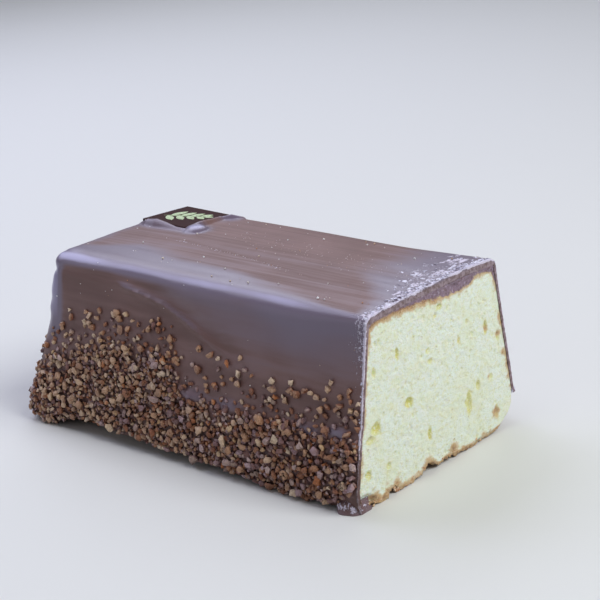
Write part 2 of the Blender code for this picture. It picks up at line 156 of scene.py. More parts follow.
# Open holes in the cut crumb, as (y, z, width, height, depth), and how many small pores there are
HOLES = (
    (12.4, 63.6, 4.6, 3.4, 1.4), (30, 43.4, 1.8, 4.4, 1.5), (37.6, 37.7, 1.6, 3.2, 1.2),
    (18.2, 18.0, 2.6, 6.6, 1.8), (-16.6, 30.6, 3.4, 3.0, 1.6), (-35.3, 27.5, 4.0, 3.6, 1.6),
    (-21.6, 50.2, 1.6, 3.6, 1.3), (24.2, 22.8, 2.0, 3.6, 1.2), (35.2, 8.4, 2.2, 4.0, 1.2),
    (-5.7, 14.7, 1.8, 4.0, 1.2), (3.1, 59.4, 3.0, 1.8, 1.1), (0.6, 56.9, 1.8, 1.4, 0.9),
    (13.9, 43.3, 1.6, 2.6, 0.9), (-34.4, 47.3, 1.8, 2.8, 0.9), (-38.2, 24.4, 4.2, 2.4, 1.1),
    (-40.4, 12.3, 2.4, 3.0, 1.1), (-29.5, 11.7, 2.2, 2.4, 1.0), (32.5, 23.4, 2.0, 2.2, 0.8),
    (-4.6, 45.6, 2.6, 1.6, 0.8), (-3.4, 41.5, 2.8, 1.8, 0.8), (19, 49, 1.6, 2.2, 0.7))
PORES = 340

# Bits of the cut that look baked brown, as (y, z, size, share)
CRUST_BITS = (
    (30.4, 42.7, 1.3, 0.9), (38, 38.5, 1.6, 1.0), (40.5, 30.2, 1.6, 1.0), (31.3, 23.9, 1.2, 0.6),
    (34.8, 8.3, 2.4, 1.1), (7.6, 3.8, 2.6, 1.1), (-37.8, 3.4, 2.3, 1.1), (-36.4, 1.8, 2.2, 1.1),
    (-25.6, 3.4, 2.3, 1.1), (-31, 5.4, 1.5, 0.6), (16.1, 65.4, 1.5, 1.0), (19.4, 66, 1.4, 1.0))

# Waves of coating round the plaque, as (x, y, z, thickness) along their crests
FRONT_WAVE = (
    (-66.9, 8.7, 67.7, 1.0), (-62.9, 8.3, 68.8, 1.6), (-57.9, 8.0, 69.3, 1.8), (-52.9, 7.9, 68.8, 1.6),
    (-46.9, 7.4, 68.2, 1.3), (-41.9, 7.2, 68.2, 1.2))
SIDE_WAVE = ((-41.5, 10, 68.4, 1.3), (-41.1, 16, 68.6, 1.6), (-40.7, 22, 68.4, 1.3), (-40.5, 27, 68.2, 1.2))
CURLED_LIP = ((-41.1, 27.5, 67.9, 1.0), (-38.1, 31, 68.3, 1.2), (-34.5, 33.6, 67.2, 1.1))

# Smooth lips where the coating ran and set over the nuts, as (x, z, length, height), and a pit among them
LIPS = (
    (7.6, 26.6, 6.5, 1.4), (26, 26.6, 5, 0.9), (77.6, 27.4, 4.5, 1.2), (64, 25.6, 4, 0.7),
    (-12, 36, 5, 0.5))
PIT = (1.2, 22.4)

# Uneven surfaces, as layers of (relief, size, shift of the noise)
HEM_RAGS = ((0.8, 4, 0), (0.5, 1.7, 0))
BED_BUMPS = ((0.5, 2.7, 9), (0.3, 1.5, 3))
BRUSH_STREAKS = ((0.09, (80, 2.6, 30), 2), (0.05, (50, 1.2, 30), 4))
CUT_GRAIN = ((0.16, (1, 1, 1.3), 0), (0.16, (1, 2.4, 3), 3), (0.12, (9, 9, 9), 7))
UNDER_BUMPS = ((0.8, 2.6, 1), (0.5, 1.1, 2))
TORN_EDGE = ((1.2, (2, 1.4, 2), 4), (0.8, (1, 0.7, 1), 5))
SCUFF_LINE = 0.55  # about how wide the knife's white line along the coat's cut edge is

# Lumps 1 mm across that nuts, flakes and crumbs are scaled from: how deep they are cut, and how uneven
CHOP_PLACES = (0.14, 0.38)  # how far from its middle a lump's flat sides lie
CHOP_UNEVEN = 0.09

# The thick of the nuts, as (tries, highest, depth under the nuts' line, more depth where they lie loose)
PRESSED_NUTS = (60000, 52, 0, 0)
HEAPED_NUTS = (30000, 52, 5, 4)
NUT_GRAINS = (40000, 50, 4, 6)
LONE_NUTS = (3000, 54)  # those above the line, as (tries, highest)
GRAIN_SIZES = (0.9, 1.6)
STRAY_SIZES = (1.9, 3.2)
LONE_SIZES = (1.1, 2.5)
DIPS, STRAY_DIPS = (-0.3, 0.4), (-0.5, 0.1)  # how much more of a nib than usual the coating covers

# Single nuts that show on the near side above the thick of them, as (x, z)
STRAYS = (
    (-58.6, 44.2), (-59.8, 46.8), (-50, 47.6), (-48, 46.6), (-43.7, 46.7), (-42.6, 49.6), (-34.7, 49),
    (-30.8, 48.5), (-32.6, 50), (-25.8, 45.1), (-13.6, 50.2), (-9.8, 49.7), (-9.8, 47.5), (-15.1, 47),
    (-17.7, 45.8), (-20.4, 43.4), (-8.6, 44.7), (-3.9, 45.2), (-3.9, 43.7), (-63.8, 39), (-67.9, 32.8),
    (-57.3, 35.8), (-3.4, 46.2), (2.3, 39.4), (-1.2, 38), (11.2, 44.3), (16.7, 43.1), (20.5, 42.4),
    (25.3, 41.5), (31.2, 44.5), (20.7, 38.6), (14.2, 34.2), (22.2, 36.1), (30.5, 38.7), (33.7, 40.7),
    (27.8, 36.1), (19, 32.3), (10.7, 36.7), (43, 36.7), (47, 36.8), (55.5, 40.5), (54.9, 37.7),
    (62.3, 38.7), (66.7, 37.4), (44.1, 31.7), (46.2, 30.4), (53.4, 33.6), (73.3, 44.1), (71.8, 41.4),
    (77.3, 39.5), (81.2, 42.3), (69.1, 33.9), (63.6, 32.4), (72.1, 35.3), (60.7, 29.9), (54.3, 29.2),
    (50.7, 26.1), (75.9, 35.1), (82, 36.2), (84.8, 35.7), (84.1, 32.9), (81.8, 38.9), (51.8, 35), (58.2, 37))

# Flakes: how many on the near and the far edge of the cut, on its top edge, and strewn behind that
EDGE_FLAKES = ((-1, 190), (1, 60))
RIM_FLAKES = 260
STREWN_FLAKES = 190

# Crumbs: how many on the crust below the cut, and the loose ones as (count, finest, coarsest)
CRUST_CRUMBS = 170
TOP_CRUMBS = (75, 0.3, 1.0)
TRAIL_CRUMBS = (110, 0.14, 0.26)
SIDE_CRUMBS = (34, 0.22, 0.55)
CREASE_CRUMBS = (50, 0.16, 0.34)
OVERHEAD = 80  # the height that they are dropped from


# Shape of the loaf


def line_at(line, place):
    """Height at a place on a line of (place, height) points, straight between them."""
    places, heights = zip(*line)
    return np.interp(place, places, heights)


def smooth(value, low, high):
    """0 up to low, 1 from high on, and an even curve between them."""
    share = np.clip((value - low) / (high - low), 0, 1)
    return share * share * (3 - 2 * share)


def between(value, rise, fall):
    """1 between a slope up and a slope down, each from one value to another, and 0 outside them."""
    return smooth(value, *rise) * (1 - smooth(value, *fall))


def bell(distance, width):
    return np.exp(-((distance / width) ** 2))


def wander(points, size, shift=0.0):
    """Smooth noise between about -1 and 1 at each point, with features of this size."""
    return np.array([noise.noise(Vector(p)) for p in points / np.array(size) + shift])


def uneven(points, layers):
    return sum(relief * wander(points, size, shift) for relief, size, shift in layers)


def flared(z, top, spread):
    """A size at height z that grows downwards by this spread, and draws in at the foot."""
    return top + spread * (1 - z / RIM_HEIGHT) - TUCK * np.maximum(0, 1 - z / TUCK_HEIGHT) ** 2


def half_width(z):
    return flared(z, TOP_WIDTH / 2, (BASE_WIDTH - TOP_WIDTH) / 2)


def end_length(z):
    """Distance from the knife's plane back to the coated loaf's end at height z."""
    return flared(z, TOP_LENGTH, BASE_LENGTH - TOP_LENGTH)


def heap(points):
    """How far the heaped nuts at the near corner of the uncut end push each point out."""
    x, y, z = points.T
    off = ((x - HEAP_PLACE[0]) / HEAP_REACH) ** 4 + ((y - HEAP_PLACE[1]) / HEAP_REACH) ** 4
    whole, gone = HEAP_HEIGHTS
    fade = np.clip((gone - z) / (gone - whole), 0, 1)
    spread = 1 + HEAP_SPREAD * np.maximum(0, 1 - z / TUCK_HEIGHT)
    return HEAP * (np.exp(-off) * fade * spread)[:, None]


def from_near_to_far(x, y, near, far):
    """A height that changes evenly across the loaf from the near side's line to the far side's."""
    across = np.clip(0.5 + y / BASE_WIDTH, 0, 1)
    return (1 - across) * line_at(near, x) + across * line_at(far, x)


def hem(x, y):
    return from_near_to_far(x, y, NEAR_HEM, FAR_HEM)


def nut_line(x, y):
    return from_near_to_far(x, y, NEAR_NUT_LINE, FAR_NUT_LINE)


def crown(x, y, z):
    """How far the top swells above its rim, fading out down the sides."""
    across = np.minimum(1, np.abs(y) / (TOP_WIDTH / 2))
    back = np.clip((CUT_X - x) / TOP_LENGTH, 0, 1)
    return CROWN * (1 - across**3) * (1 - back**6) * np.maximum(0, z / RIM_HEIGHT) ** 4


def rim_radius(x):
    sharp, soft = RIM_RADII
    return sharp + (soft - sharp) * smooth(CUT_X - x, 0, RIM_EASES)


def round_shoulder(z, radius):
    """How far a rounded lower edge of this radius draws in at height z."""
    under = np.clip(radius - z, 0, radius)
    return radius - np.sqrt(radius**2 - under**2)


def underside(x, y):
    """Height of the rough crust under the crumb: the cut's outline, and rolling relief behind it."""
    flat = np.column_stack([x, y, np.zeros(len(x))])
    rolling = CRUST_RELIEF * (0.1 + wander(flat, CRUST_GRAIN))
    inwards = np.clip((CUT_X - x) / UNDERSIDE_FADE, 0, 1)
    return np.maximum(MARGIN, (1 - inwards) * line_at(CUT_UNDERSIDE, y) + inwards * rolling)


def square_to_round(across, along):
    """Draws a square corner in to a quarter circle, for points this far past the corner's centre."""
    inside = (across > 0) & (along > 0)
    share = np.maximum(across, along) / np.maximum(np.hypot(across, along), 1e-9)
    share = np.where(inside, share, 1)
    return across * share, along * share


def rounded(points, half, back, top, corner, rim):
    """Rounds a straight block's far corners, seen from above, and the rim of its top."""
    x, y, z = points.T
    side = np.where(y < 0, -1, 1)
    past_end = back + corner - x
    past_side = np.abs(y) - (half - corner)
    in_corner = (past_end > 0) & (past_side > 0)
    past_end, past_side = square_to_round(past_end, past_side)
    x = back + corner - past_end
    y = side * (half - corner + past_side)
    reach = np.maximum(np.hypot(past_end, past_side), 1e-9)
    by_side = half - np.abs(y) < x - back
    depth = np.where(in_corner, corner - reach, np.minimum(half - np.abs(y), x - back))
    out_x = np.where(in_corner, -past_end / reach, np.where(by_side, 0, -1))
    out_y = np.where(in_corner, side * past_side / reach, np.where(by_side, side, 0))
    past_wall, past_top = square_to_round(rim - depth, rim - (top - z))
    inwards = (rim - past_wall) - depth
    return np.column_stack([x - out_x * inwards, y - out_y * inwards, top - (rim - past_top)])


# Mesh tools


def activate(obj):
    bpy.ops.object.select_all(action="DESELECT")
    obj.select_set(True)
    bpy.context.view_layer.objects.active = obj


def read(items, name, width=3, kind=np.float32):
    """A row of numbers for each of a mesh's points, edges or faces."""
    flat = np.empty(len(items) * width, kind)
    items.foreach_get(name, flat)
    return flat.reshape(-1, width)


def points_of(obj):
    return read(obj.data.vertices, "co", kind=float) / MM


def move_points(obj, points):
    obj.data.vertices.foreach_set("co", (points * MM).ravel())
    obj.data.update()


def normals_of(obj):
    return read(obj.data.vertex_normals, "vector").astype(float)


def face_facts(obj):
    """Each face's middle in mm and its normal."""
    return read(obj.data.polygons, "center") / MM, read(obj.data.polygons, "normal")


def face_lists(obj):
    return [list(face.vertices) for face in obj.data.polygons]


def edit(obj, kind, chosen, operator, **settings):
    """Runs one edit-mode operator on the chosen vertices, edges or faces of a piece."""
    activate(obj)
    mesh = obj.data
    parts = {"VERT": mesh.vertices, "EDGE": mesh.edges, "FACE": mesh.polygons}
    for part in parts.values():
        part.foreach_set("select", np.zeros(len(part), bool))
    parts[kind].foreach_set("select", np.asarray(chosen, bool))
    bpy.context.tool_settings.mesh_select_mode = [kind == name for name in parts]
    bpy.ops.object.mode_set(mode="EDIT")
    operator(**settings)
    bpy.ops.object.mode_set(mode="OBJECT")


def all_faces(obj):
    return np.ones(len(obj.data.polygons), bool)


def slice_at(obj, spot, way, **settings):
    """Cuts through a piece at the plane that looks this way from a spot in metres."""
    edit(obj, "FACE", all_faces(obj), bpy.ops.mesh.bisect, plane_co=spot, plane_no=way, **settings)


def added(name, operator, location=(0, 0, 0), **settings):
    """Adds one of Blender's basic shapes, with nothing else selected."""
    bpy.ops.object.select_all(action="DESELECT")
    operator(location=location, **settings)
    made = bpy.context.object
    made.name = made.data.name = name
    return made


def linked(name, data):
    """A new object in the scene for a mesh, a light or a camera."""
    made = bpy.data.objects.new(name, data)
    bpy.context.scene.collection.objects.link(made)
    return made


def block(name, low, high):
    """A cube stretched between two corners, with its place in its mesh."""
    low, high = Vector(low) * MM, Vector(high) * MM
    made = added(name, bpy.ops.mesh.primitive_cube_add, (low + high) / 2, size=1)
    made.scale = high - low
    bpy.ops.object.transform_apply(location=True, rotation=True, scale=True)
    return made


def split(obj, parts_along):
    """Subdivides a block's edges axis by axis, into the product of the parts of all rounds."""
    for axis, rounds in enumerate(parts_along):
        for parts in rounds:
            ends = read(obj.data.edges, "vertices", 2, int)
            run = np.diff(points_of(obj)[ends], axis=1)[:, 0]
            straight = np.abs(run[:, axis]) > 0.99 * np.linalg.norm(run, axis=1)
            edit(obj, "EDGE", straight, bpy.ops.mesh.subdivide, number_cuts=parts - 1)


def join(pieces):
    """Makes one piece of several, under the first one's name."""
    activate(pieces[0])
    for piece in pieces:
        piece.select_set(True)
    bpy.ops.object.join()
    return pieces[0]


def shade(obj, degrees):
    activate(obj)
    bpy.ops.object.shade_smooth_by_angle(angle=math.radians(degrees))


def store(obj, name, values):
    """Keeps one number for each point of a piece, for its material."""
    attribute = obj.data.attributes.new(name, "FLOAT", "POINT")
    attribute.data.foreach_set("value", np.asarray(values, np.float32))


def finish(obj, material, slot, *nodes):
    """Gives a finished piece its material, hangs it under the root, and hides the solid parts that it
    replaces.
    """
    obj.data.materials.clear()
    obj.data.materials.append(material)
    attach(obj, "root")
    if nodes:
        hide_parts(*nodes)


# Materials, with colours as sRGB numbers from 0 to 255


class Wire:
    """A node's output, so that shader maths reads as arithmetic."""

    def __init__(self, material, socket):
        self.material = material
        self.socket = socket

    def node(self, kind, settings, inputs, output=0):
        """Adds a node: its settings first, with a ramp's stops, then values or links for its sockets."""
        tree = self.material.node_tree
        made = tree.nodes.new(kind)
        for name, value in settings.items():
            if name == "stops":
                set_stops(made.color_ramp, value)
            else:
                setattr(made, name, value)
        for key, value in inputs.items():
            if isinstance(value, Wire):
                tree.links.new(value.socket, made.inputs[key])
            else:
                made.inputs[key].default_value = value
        return Wire(self.material, made.outputs[output])

    def math(self, operation, *others):
        return self.node("ShaderNodeMath", {"operation": operation}, dict(enumerate((self, *others))))

    def __add__(self, other):
        return self.math("ADD", other)

    def __sub__(self, other):
        return self.math("SUBTRACT", other)

    def __rsub__(self, other):
        number = self.node("ShaderNodeValue", {}, {})
        number.socket.default_value = other
        return number - self

    def __mul__(self, other):
        return self.math("MULTIPLY", other)

    __radd__ = __add__
    __rmul__ = __mul__

    def above(self, low, high):
        """0 up to low, 1 from high on, and an even curve between them."""
        even = {"interpolation_type": "SMOOTHSTEP"}
        return self.node("ShaderNodeMapRange", even, {0: self, 1: low, 2: high})

    def mix(self, first, second):
        """The first colour where this is 0, and the second where it is 1."""
        sockets = {0: self, 6: colour(first), 7: colour(second)}
        return self.node("ShaderNodeMix", {"data_type": "RGBA"}, sockets, 2)

    def covered(self, *layers):
        """This colour under layers of (share, colour), each over the ones before it."""
        base = self
        for share, tint in layers:
            base = share.mix(base, tint)
        return base

    def ramp(self, stops):
        return self.node("ShaderNodeValToRGB", {"stops": stops}, {0: self})

    def stored(self, name):
        return self.node("ShaderNodeAttribute", {"attribute_name": name}, {}, "Fac")

    def noise(self, size, detail=2.0, roughness=0.5):
        """Noise between 0 and 1 with features of this size in mm, or of three sizes along the axes."""
        sizes = size if isinstance(size, tuple) else (size,) * 3
        scale = tuple(1 / (s * MM) for s in sizes)
        placed = self.node("ShaderNodeMapping", {}, {"Vector": self, "Scale": scale})
        inputs = {"Vector": placed, "Scale": 1.0, "Detail": detail, "Roughness": roughness}
        return self.node("ShaderNodeTexNoise", {}, inputs)


def set_stops(ramp, stops):
    """Sets a colour ramp to (place, colour) stops."""
    while len(ramp.elements) < len(stops):
        ramp.elements.new(0.5)
    for element, (place, value) in zip(ramp.elements, stops):
        element.position = place
        element.color = colour(value)


def colour(value):
    """A colour wire as it is, or an sRGB colour as the linear one that a shader takes."""
    if isinstance(value, Wire):
        return value
    shares = [v / 255 for v in value]
    return tuple(s / 12.92 if s <= 0.04045 else ((s + 0.055) / 1.055) ** 2.4 for s in shares) + (1.0,)


def coordinates(name):
    """The object coordinates of a new material."""
    material = bpy.data.materials.new(name)
    material.use_nodes = True
    nodes = material.node_tree.nodes
    nodes.clear()
    return Wire(material, nodes.new("ShaderNodeTexCoord").outputs["Object"])


def surface(place, base, roughness, height=None, depth=0.1, **fixed):
    """Ends a material in a Principled shader, with height as a wire for this depth in mm of relief."""
    inputs = {"Base Color": colour(base), "Roughness": roughness}
    inputs.update({name.replace("_", " "): value for name, value in fixed.items()})
    if height is not None:
        relief = {"Height": height, "Distance": depth * MM, "Strength": 1.0}
        inputs["Normal"] = place.node("ShaderNodeBump", {}, relief)
    shader = place.node("ShaderNodeBsdfPrincipled", {}, inputs)
    tree = place.material.node_tree
    tree.links.new(shader.socket, tree.nodes.new("ShaderNodeOutputMaterial").inputs["Surface"])
    return place.material


def milk_chocolate():
    """Brushed dull with the spatula, smooth and glossy where it bloomed, with a painted lavender sheen and
    painted highlights there and painted shade where it is darker, and scuffed white by the knife.
    """
    place = coordinates("milk_chocolate")
    clouds = place.noise(22, 2)
    # The stored level paints a lavender sheen and highlights where high and painted shade below zero; it
    # also smooths and glosses the coat
    sheen_and_shade = place.stored("bloom") + (clouds - 0.5) * 0.3
    streaks = (place.noise((70, 1.5, 9), 3, 0.6) - 0.5) * (1 - 0.75 * sheen_and_shade.above(0.2, 0.8))
    brushed = (streaks * 0.65 + clouds * 0.35 + 0.325).above(0.36, 0.64).mix((108, 79, 74), (126, 96, 92))
    # Painted shade: a darker brown where the level is below zero, on the far top and low on the near side
    shaded_brown = sheen_and_shade.above(-0.9, -0.45).mix((82, 57, 51), (96, 69, 65))
    sheen_and_gloss = (sheen_and_shade + streaks * 0.9).above(0.08, 0.95)
    dragged = place.noise((1.6, 1.8, 1.6), 3, 0.65).above(0.36, 0.62).mix((98, 72, 70), (146, 126, 134))
    torn = place.noise((1.0, 2.0, 1.0), 5, 0.75)
    scraped = place.noise((0.5, 9, 1.5), 2, 0.5)
    scuffed = (place.stored("scuff") * 1.15 + torn * 2.0 + scraped * 0.6 - 1.83).above(0.0, 0.12)
    # Painted shade: a darker brown in the hollows of the bed between the nuts
    gap_shade = (place.stored("bed") * place.noise(1.8, 2)).above(0.2, 0.5)
    # The lavender layer and the two paler ones after it are painted sheen and painted highlights
    base = sheen_and_shade.above(-0.45, 0.05).mix(shaded_brown, brushed).covered(
        (sheen_and_gloss, (114, 101, 119)),
        (sheen_and_shade.above(1.15, 1.8), (156, 150, 184)),
        (sheen_and_shade.above(1.9, 2.3), (206, 206, 236)),
        (place.stored("inside").above(0.1, 0.35), dragged),
        (scuffed * 0.92, (222, 214, 232)),
        (gap_shade * 0.75, (82, 52, 44)))
    roughness = 0.5 - 0.18 * sheen_and_gloss - 0.1 * streaks + 0.2 * scuffed
    height = streaks * 0.5 + place.noise(0.55, 3, 0.6) * 0.2 + scuffed * 0.9
    glaze = sheen_and_gloss * 0.35 * (1 - scuffed)
    return surface(place, base, roughness, height, 0.16, IOR=1.47, Coat_Weight=glaze, Coat_Roughness=0.25)


def sponge_crumb():
    """Pale crumb, yellow in its pores, tan by its crust, and dragged with chocolate along the top; off the
    cut it is dark brown, partly a darker crust and partly painted shade.
    """
    place = coordinates("sponge_crumb")
    fine = place.noise((0.5, 0.65, 0.5), 3, 0.65)
    coarse = place.noise((1.6, 2.3, 1.5), 3, 0.6)
    spots = place.noise((1.0, 1.2, 1.0), 3, 0.65)

    def frayed(share, by_coarse, by_fine):
        return share + (coarse - 0.5) * by_coarse + (fine - 0.5) * by_fine

    yellow = frayed(place.stored("pore") * 1.1, 0.7, 0.3).above(0.05, 1.0)
    baked = place.stored("baked") * 1.2
    tan = frayed(baked, 1.3, 0.9).above(0.18, 0.85)
    brown = (frayed(baked, 1.9, 1.1) - 0.35).above(0.42, 0.85)
    crust = coarse.above(0.42, 0.6).mix((146, 104, 74), (198, 160, 116))
    crust = crust.covered((fine.above(0.5, 0.64) * 0.7, (226, 206, 170)))
    dragged = frayed(place.stored("smear"), 1.8, 0.9).above(0.25, 0.75)
    chocolate = spots.above(0.3, 0.52).mix((100, 76, 80), (140, 120, 138))
    chocolate = chocolate.covered((spots.above(0.6, 0.68) * 0.7, (190, 178, 200)))
    base = yellow.mix((236, 244, 230), (212, 205, 104)).covered(
        (coarse.above(0.47, 0.68) * 0.6, (228, 230, 178)),
        (fine.above(0.5, 0.64) * 0.7, (241, 247, 240)),
        ((1 - fine).above(0.52, 0.66) * 0.6, (218, 222, 182)),
        (place.noise(8, 2).above(0.42, 0.62) * 0.35, (231, 235, 194)),
        (tan, (208, 184, 144)),
        (brown * 0.9, crust),
        # Painted shade, in part a darker crust: the crumb off the cut in dark brown
        (place.stored("roasted"), (88, 58, 40)),
        (dragged * 0.95, chocolate))
    height = fine * 0.8 + coarse * 0.7
    inner_light = {"Subsurface_Weight": 0.12, "Subsurface_Scale": 1.5 * MM}
    return surface(place, base, 0.85, height, 0.5, IOR=1.4, **inner_light)


def nut(name, stops, skin):
    """One kind of nut: each nib its own tone, mottled with its brown skin, the coating up its sides, with a
    painted highlight on its outer tips and painted shade towards its foot.
    """
    place = coordinates(name)
    mottle = place.noise(0.6, 3, 0.65)
    patchy = place.noise(1.4, 2, 0.5)
    smear = place.stored("smear") + (mottle - 0.5) * 0.9
    smeared = smear.above(0.4, 1.0)
    base = place.stored("tone").ramp(stops).covered(
        ((patchy * 0.5 + mottle * 0.5).above(0.5, 0.62) * 0.5, skin),
        # A painted highlight in cream on each nib's outer tips, then painted shade in brown towards its foot
        ((0.2 - smear).above(0.0, 0.45) * 0.3, (236, 208, 174)),
        (smear.above(0.0, 0.6) * 0.65, (136, 88, 64)),
        (smeared, (110, 82, 85)))
    return surface(place, base, 0.52 - 0.18 * smeared, patchy * 0.6 + mottle * 0.6, 0.7, IOR=1.46)


# Each kind of nut, as its tones from nib to nib and the brown of its skin
NUT_KINDS = {
    "pale": (
        ((0.0, (206, 174, 148)), (0.4, (190, 152, 124)), (0.75, (224, 202, 178)), (1.0, (206, 168, 120))),
        (158, 116, 84)),
    "toasted": (
        ((0.0, (178, 130, 98)), (0.5, (156, 102, 72)), (0.86, (138, 86, 64)), (1.0, (196, 118, 62))),
        (112, 70, 50)),
    "coated": (((0.0, (120, 92, 92)), (0.5, (146, 116, 120)), (1.0, (188, 162, 170))), (98, 72, 72)),
}


def dark_chocolate():
    place = coordinates("dark_chocolate")
    clouds = place.noise(6, 3, 0.6)
    base = clouds.mix((56, 36, 36), (70, 49, 49))
    relief = place.noise(1.2, 3)
    return surface(place, base, 0.5 + 0.15 * clouds, relief, 0.06, IOR=1.47, Specular_IOR_Level=0.04)


def cocoa_butter_print():
    place = coordinates("cocoa_butter_print")
    patchy = place.noise(1.1, 3, 0.6)
    base = patchy.above(0.42, 0.7).mix((196, 214, 176), (160, 176, 132))
    return surface(place, base, 0.6, patchy, 0.05, IOR=1.45, Specular_IOR_Level=0.2)


def pale_flakes():
    place = coordinates("pale_flakes")
    base = place.noise(2.5, 2).above(0.35, 0.65).mix((196, 192, 214), (226, 224, 240))
    return surface(place, base, 0.42, place.noise(0.4, 2), 0.05, IOR=1.5)


def dry_crumbs():
    place = coordinates("dry_crumbs")
    stops = ((0.0, (236, 236, 240)), (0.6, (228, 220, 212)), (0.85, (214, 178, 138)), (1.0, (170, 112, 80)))
    return surface(place, place.stored("tone").ramp(stops), 0.7, place.noise(0.3, 2), 0.05)


# The coat


def coat_block():
    """The coat's outer surface as a straight block of even quads, open below and at the cut."""
    half = TOP_WIDTH / 2
    coat = block("chocolate_coat", (BACK_X, -half, 0), (CUT_X, half, RIM_HEIGHT))
    _, normals = face_facts(coat)
    gone = (normals[:, 2] < -FLAT) | (normals[:, 0] > FLAT)
    edit(coat, "FACE", gone, bpy.ops.mesh.delete, type="FACE")
    split(coat, COAT_PARTS)
    middles, normals = face_facts(coat)
    x, y, _ = middles.T
    by_plaque = (normals[:, 2] > FLAT) & (x < -28) & (y > 2) & (y < 37)
    edit(coat, "FACE", by_plaque, bpy.ops.mesh.subdivide, number_cuts=1)
    return coat


def loaf_points(straight):
    """Spreads a straight block's points into the coated loaf's shape."""
    rim = rim_radius(straight[:, 0])
    x, y, z = rounded(straight, TOP_WIDTH / 2, BACK_X, RIM_HEIGHT, CORNER_RADIUS, rim).T
    lift = np.maximum(0.1, hem(x, y * BASE_WIDTH / TOP_WIDTH) + uneven(straight, HEM_RAGS))
    z = z + lift * (1 - z / RIM_HEIGHT)
    x = CUT_X - (CUT_X - x) * end_length(z) / TOP_LENGTH
    y = y * half_width(z) / (TOP_WIDTH / 2)
    points = np.column_stack([x, y, z + crown(x, y, z)])
    return points + heap(points)


def on_crease(x, y, width, run):
    """The share that each point has in the fine crease along the top."""
    return bell(y - line_at(TOP_CREASE, x), width) * between(x, *run)


def coat_relief(points, normals):
    """How far the coat stands out from the plain loaf, and the bed in it that holds the nuts."""
    x, y, z = points.T
    near = smooth(-normals[:, 1], 0.3, 0.8)
    top = smooth(normals[:, 2], 0.4, 0.9)
    at_corner = smooth(-normals[:, 0], 0.15, 0.5) * smooth(-normals[:, 1], 0.15, 0.5)
    relief = 0.3 * wander(points, (55, 28, 28)) + 0.12 * wander(points, (14, 9, 9), 5.0) * (1 - top)

    # The drape across the near side, the groove under its rim by the uncut end, and the corner's waist
    over_ridge = z - line_at(DRAPE_RIDGE, x)
    drape = bell(over_ridge, 1.1) - 0.6 * between(over_ridge, (-1, 3), (3, 9))
    relief += near * between(x, *DRAPE_RUN) * drape
    relief -= near * between(x, *GROOVE_RUN) * 0.6 * bell(z - 62.6, 1.2)
    relief += at_corner * (0.55 * smooth(z, 61.5, 64) - 0.7 * bell(z - 60.6, 1.2) + 0.5 * bell(z - 54, 5))
    relief += at_corner * 0.55 * wander(points, (9, 9, 5), 3.0) * smooth(60 - z, 0, 4)

    bed = smooth(nut_line(x, y) - z, -0.6, 2.2) * (1 - top)
    relief += bed * (0.6 + uneven(points, BED_BUMPS))
    for lip_x, lip_z, length, height in LIPS:
        relief += near * height * bell(x - lip_x, length) * bell(z - lip_z, 1.7)
    relief -= near * 1.4 * bell(np.hypot(x - PIT[0], z - PIT[1]), 1.7)
    relief += top * (uneven(points, BRUSH_STREAKS) + 0.35 * on_crease(x, y, 0.7, CREASE_RUN))
    return relief, bed


def wave_height(x, y, crest):
    """Height of a rounded wave over each point of the top."""
    best = np.full(len(x), -1e3)
    for start, end in zip(crest, crest[1:]):
        start, end = np.array(start), np.array(end)
        run = end[:2] - start[:2]
        share = np.clip(((x - start[0]) * run[0] + (y - start[1]) * run[1]) / (run @ run), 0, 1)
        spot = start + share[:, None] * (end - start)
        away = np.hypot(x - spot[:, 0], y - spot[:, 1]) / (1.3 * spot[:, 3])
        best = np.maximum(best, spot[:, 2] + spot[:, 3] * (1 - away**2))
    return best


def mound_height(x, y, centre, radii):
    inside = 1 - ((x - centre[0]) / radii[0]) ** 2 - ((y - centre[1]) / radii[1]) ** 2
    return centre[2] + radii[2] * np.where(inside > 0, np.sqrt(np.maximum(inside, 0)), 2 * inside)


def higher(first, second, blend=0.25):
    """The larger of two heights, with a soft crease between them."""
    return blend * np.logaddexp(first / blend, second / blend)


def plaque_surroundings(points, normals):
    """Raises the waves of coating that the plaque pushed up, and sinks the coat under the plaque."""
    x, y, z = points.T
    raised = z
    for crest in (FRONT_WAVE, SIDE_WAVE, CURLED_LIP):
        raised = higher(raised, wave_height(x, y, crest))
    raised = higher(raised, mound_height(x, y, *MOUND))
    turn = -PLAQUE_TURN[2]
    off_x, off_y = x - PLAQUE_CENTRE[0], y - PLAQUE_CENTRE[1]
    along = off_x * math.cos(turn) - off_y * math.sin(turn)
    across = off_x * math.sin(turn) + off_y * math.cos(turn)
    length, width, _ = PLAQUE_SIZE
    under = (np.abs(along) < length / 2 - PLAQUE_BORDER) & (np.abs(across) < width / 2 - PLAQUE_BORDER)
    under &= raised < PLAQUE_CENTRE[2] + 1
    raised = np.where(under, PLAQUE_CENTRE[2] - PLAQUE_BED, raised)
    return np.where((normals[:, 2] > 0.5) & (x < -26) & (y > 0), raised, z)


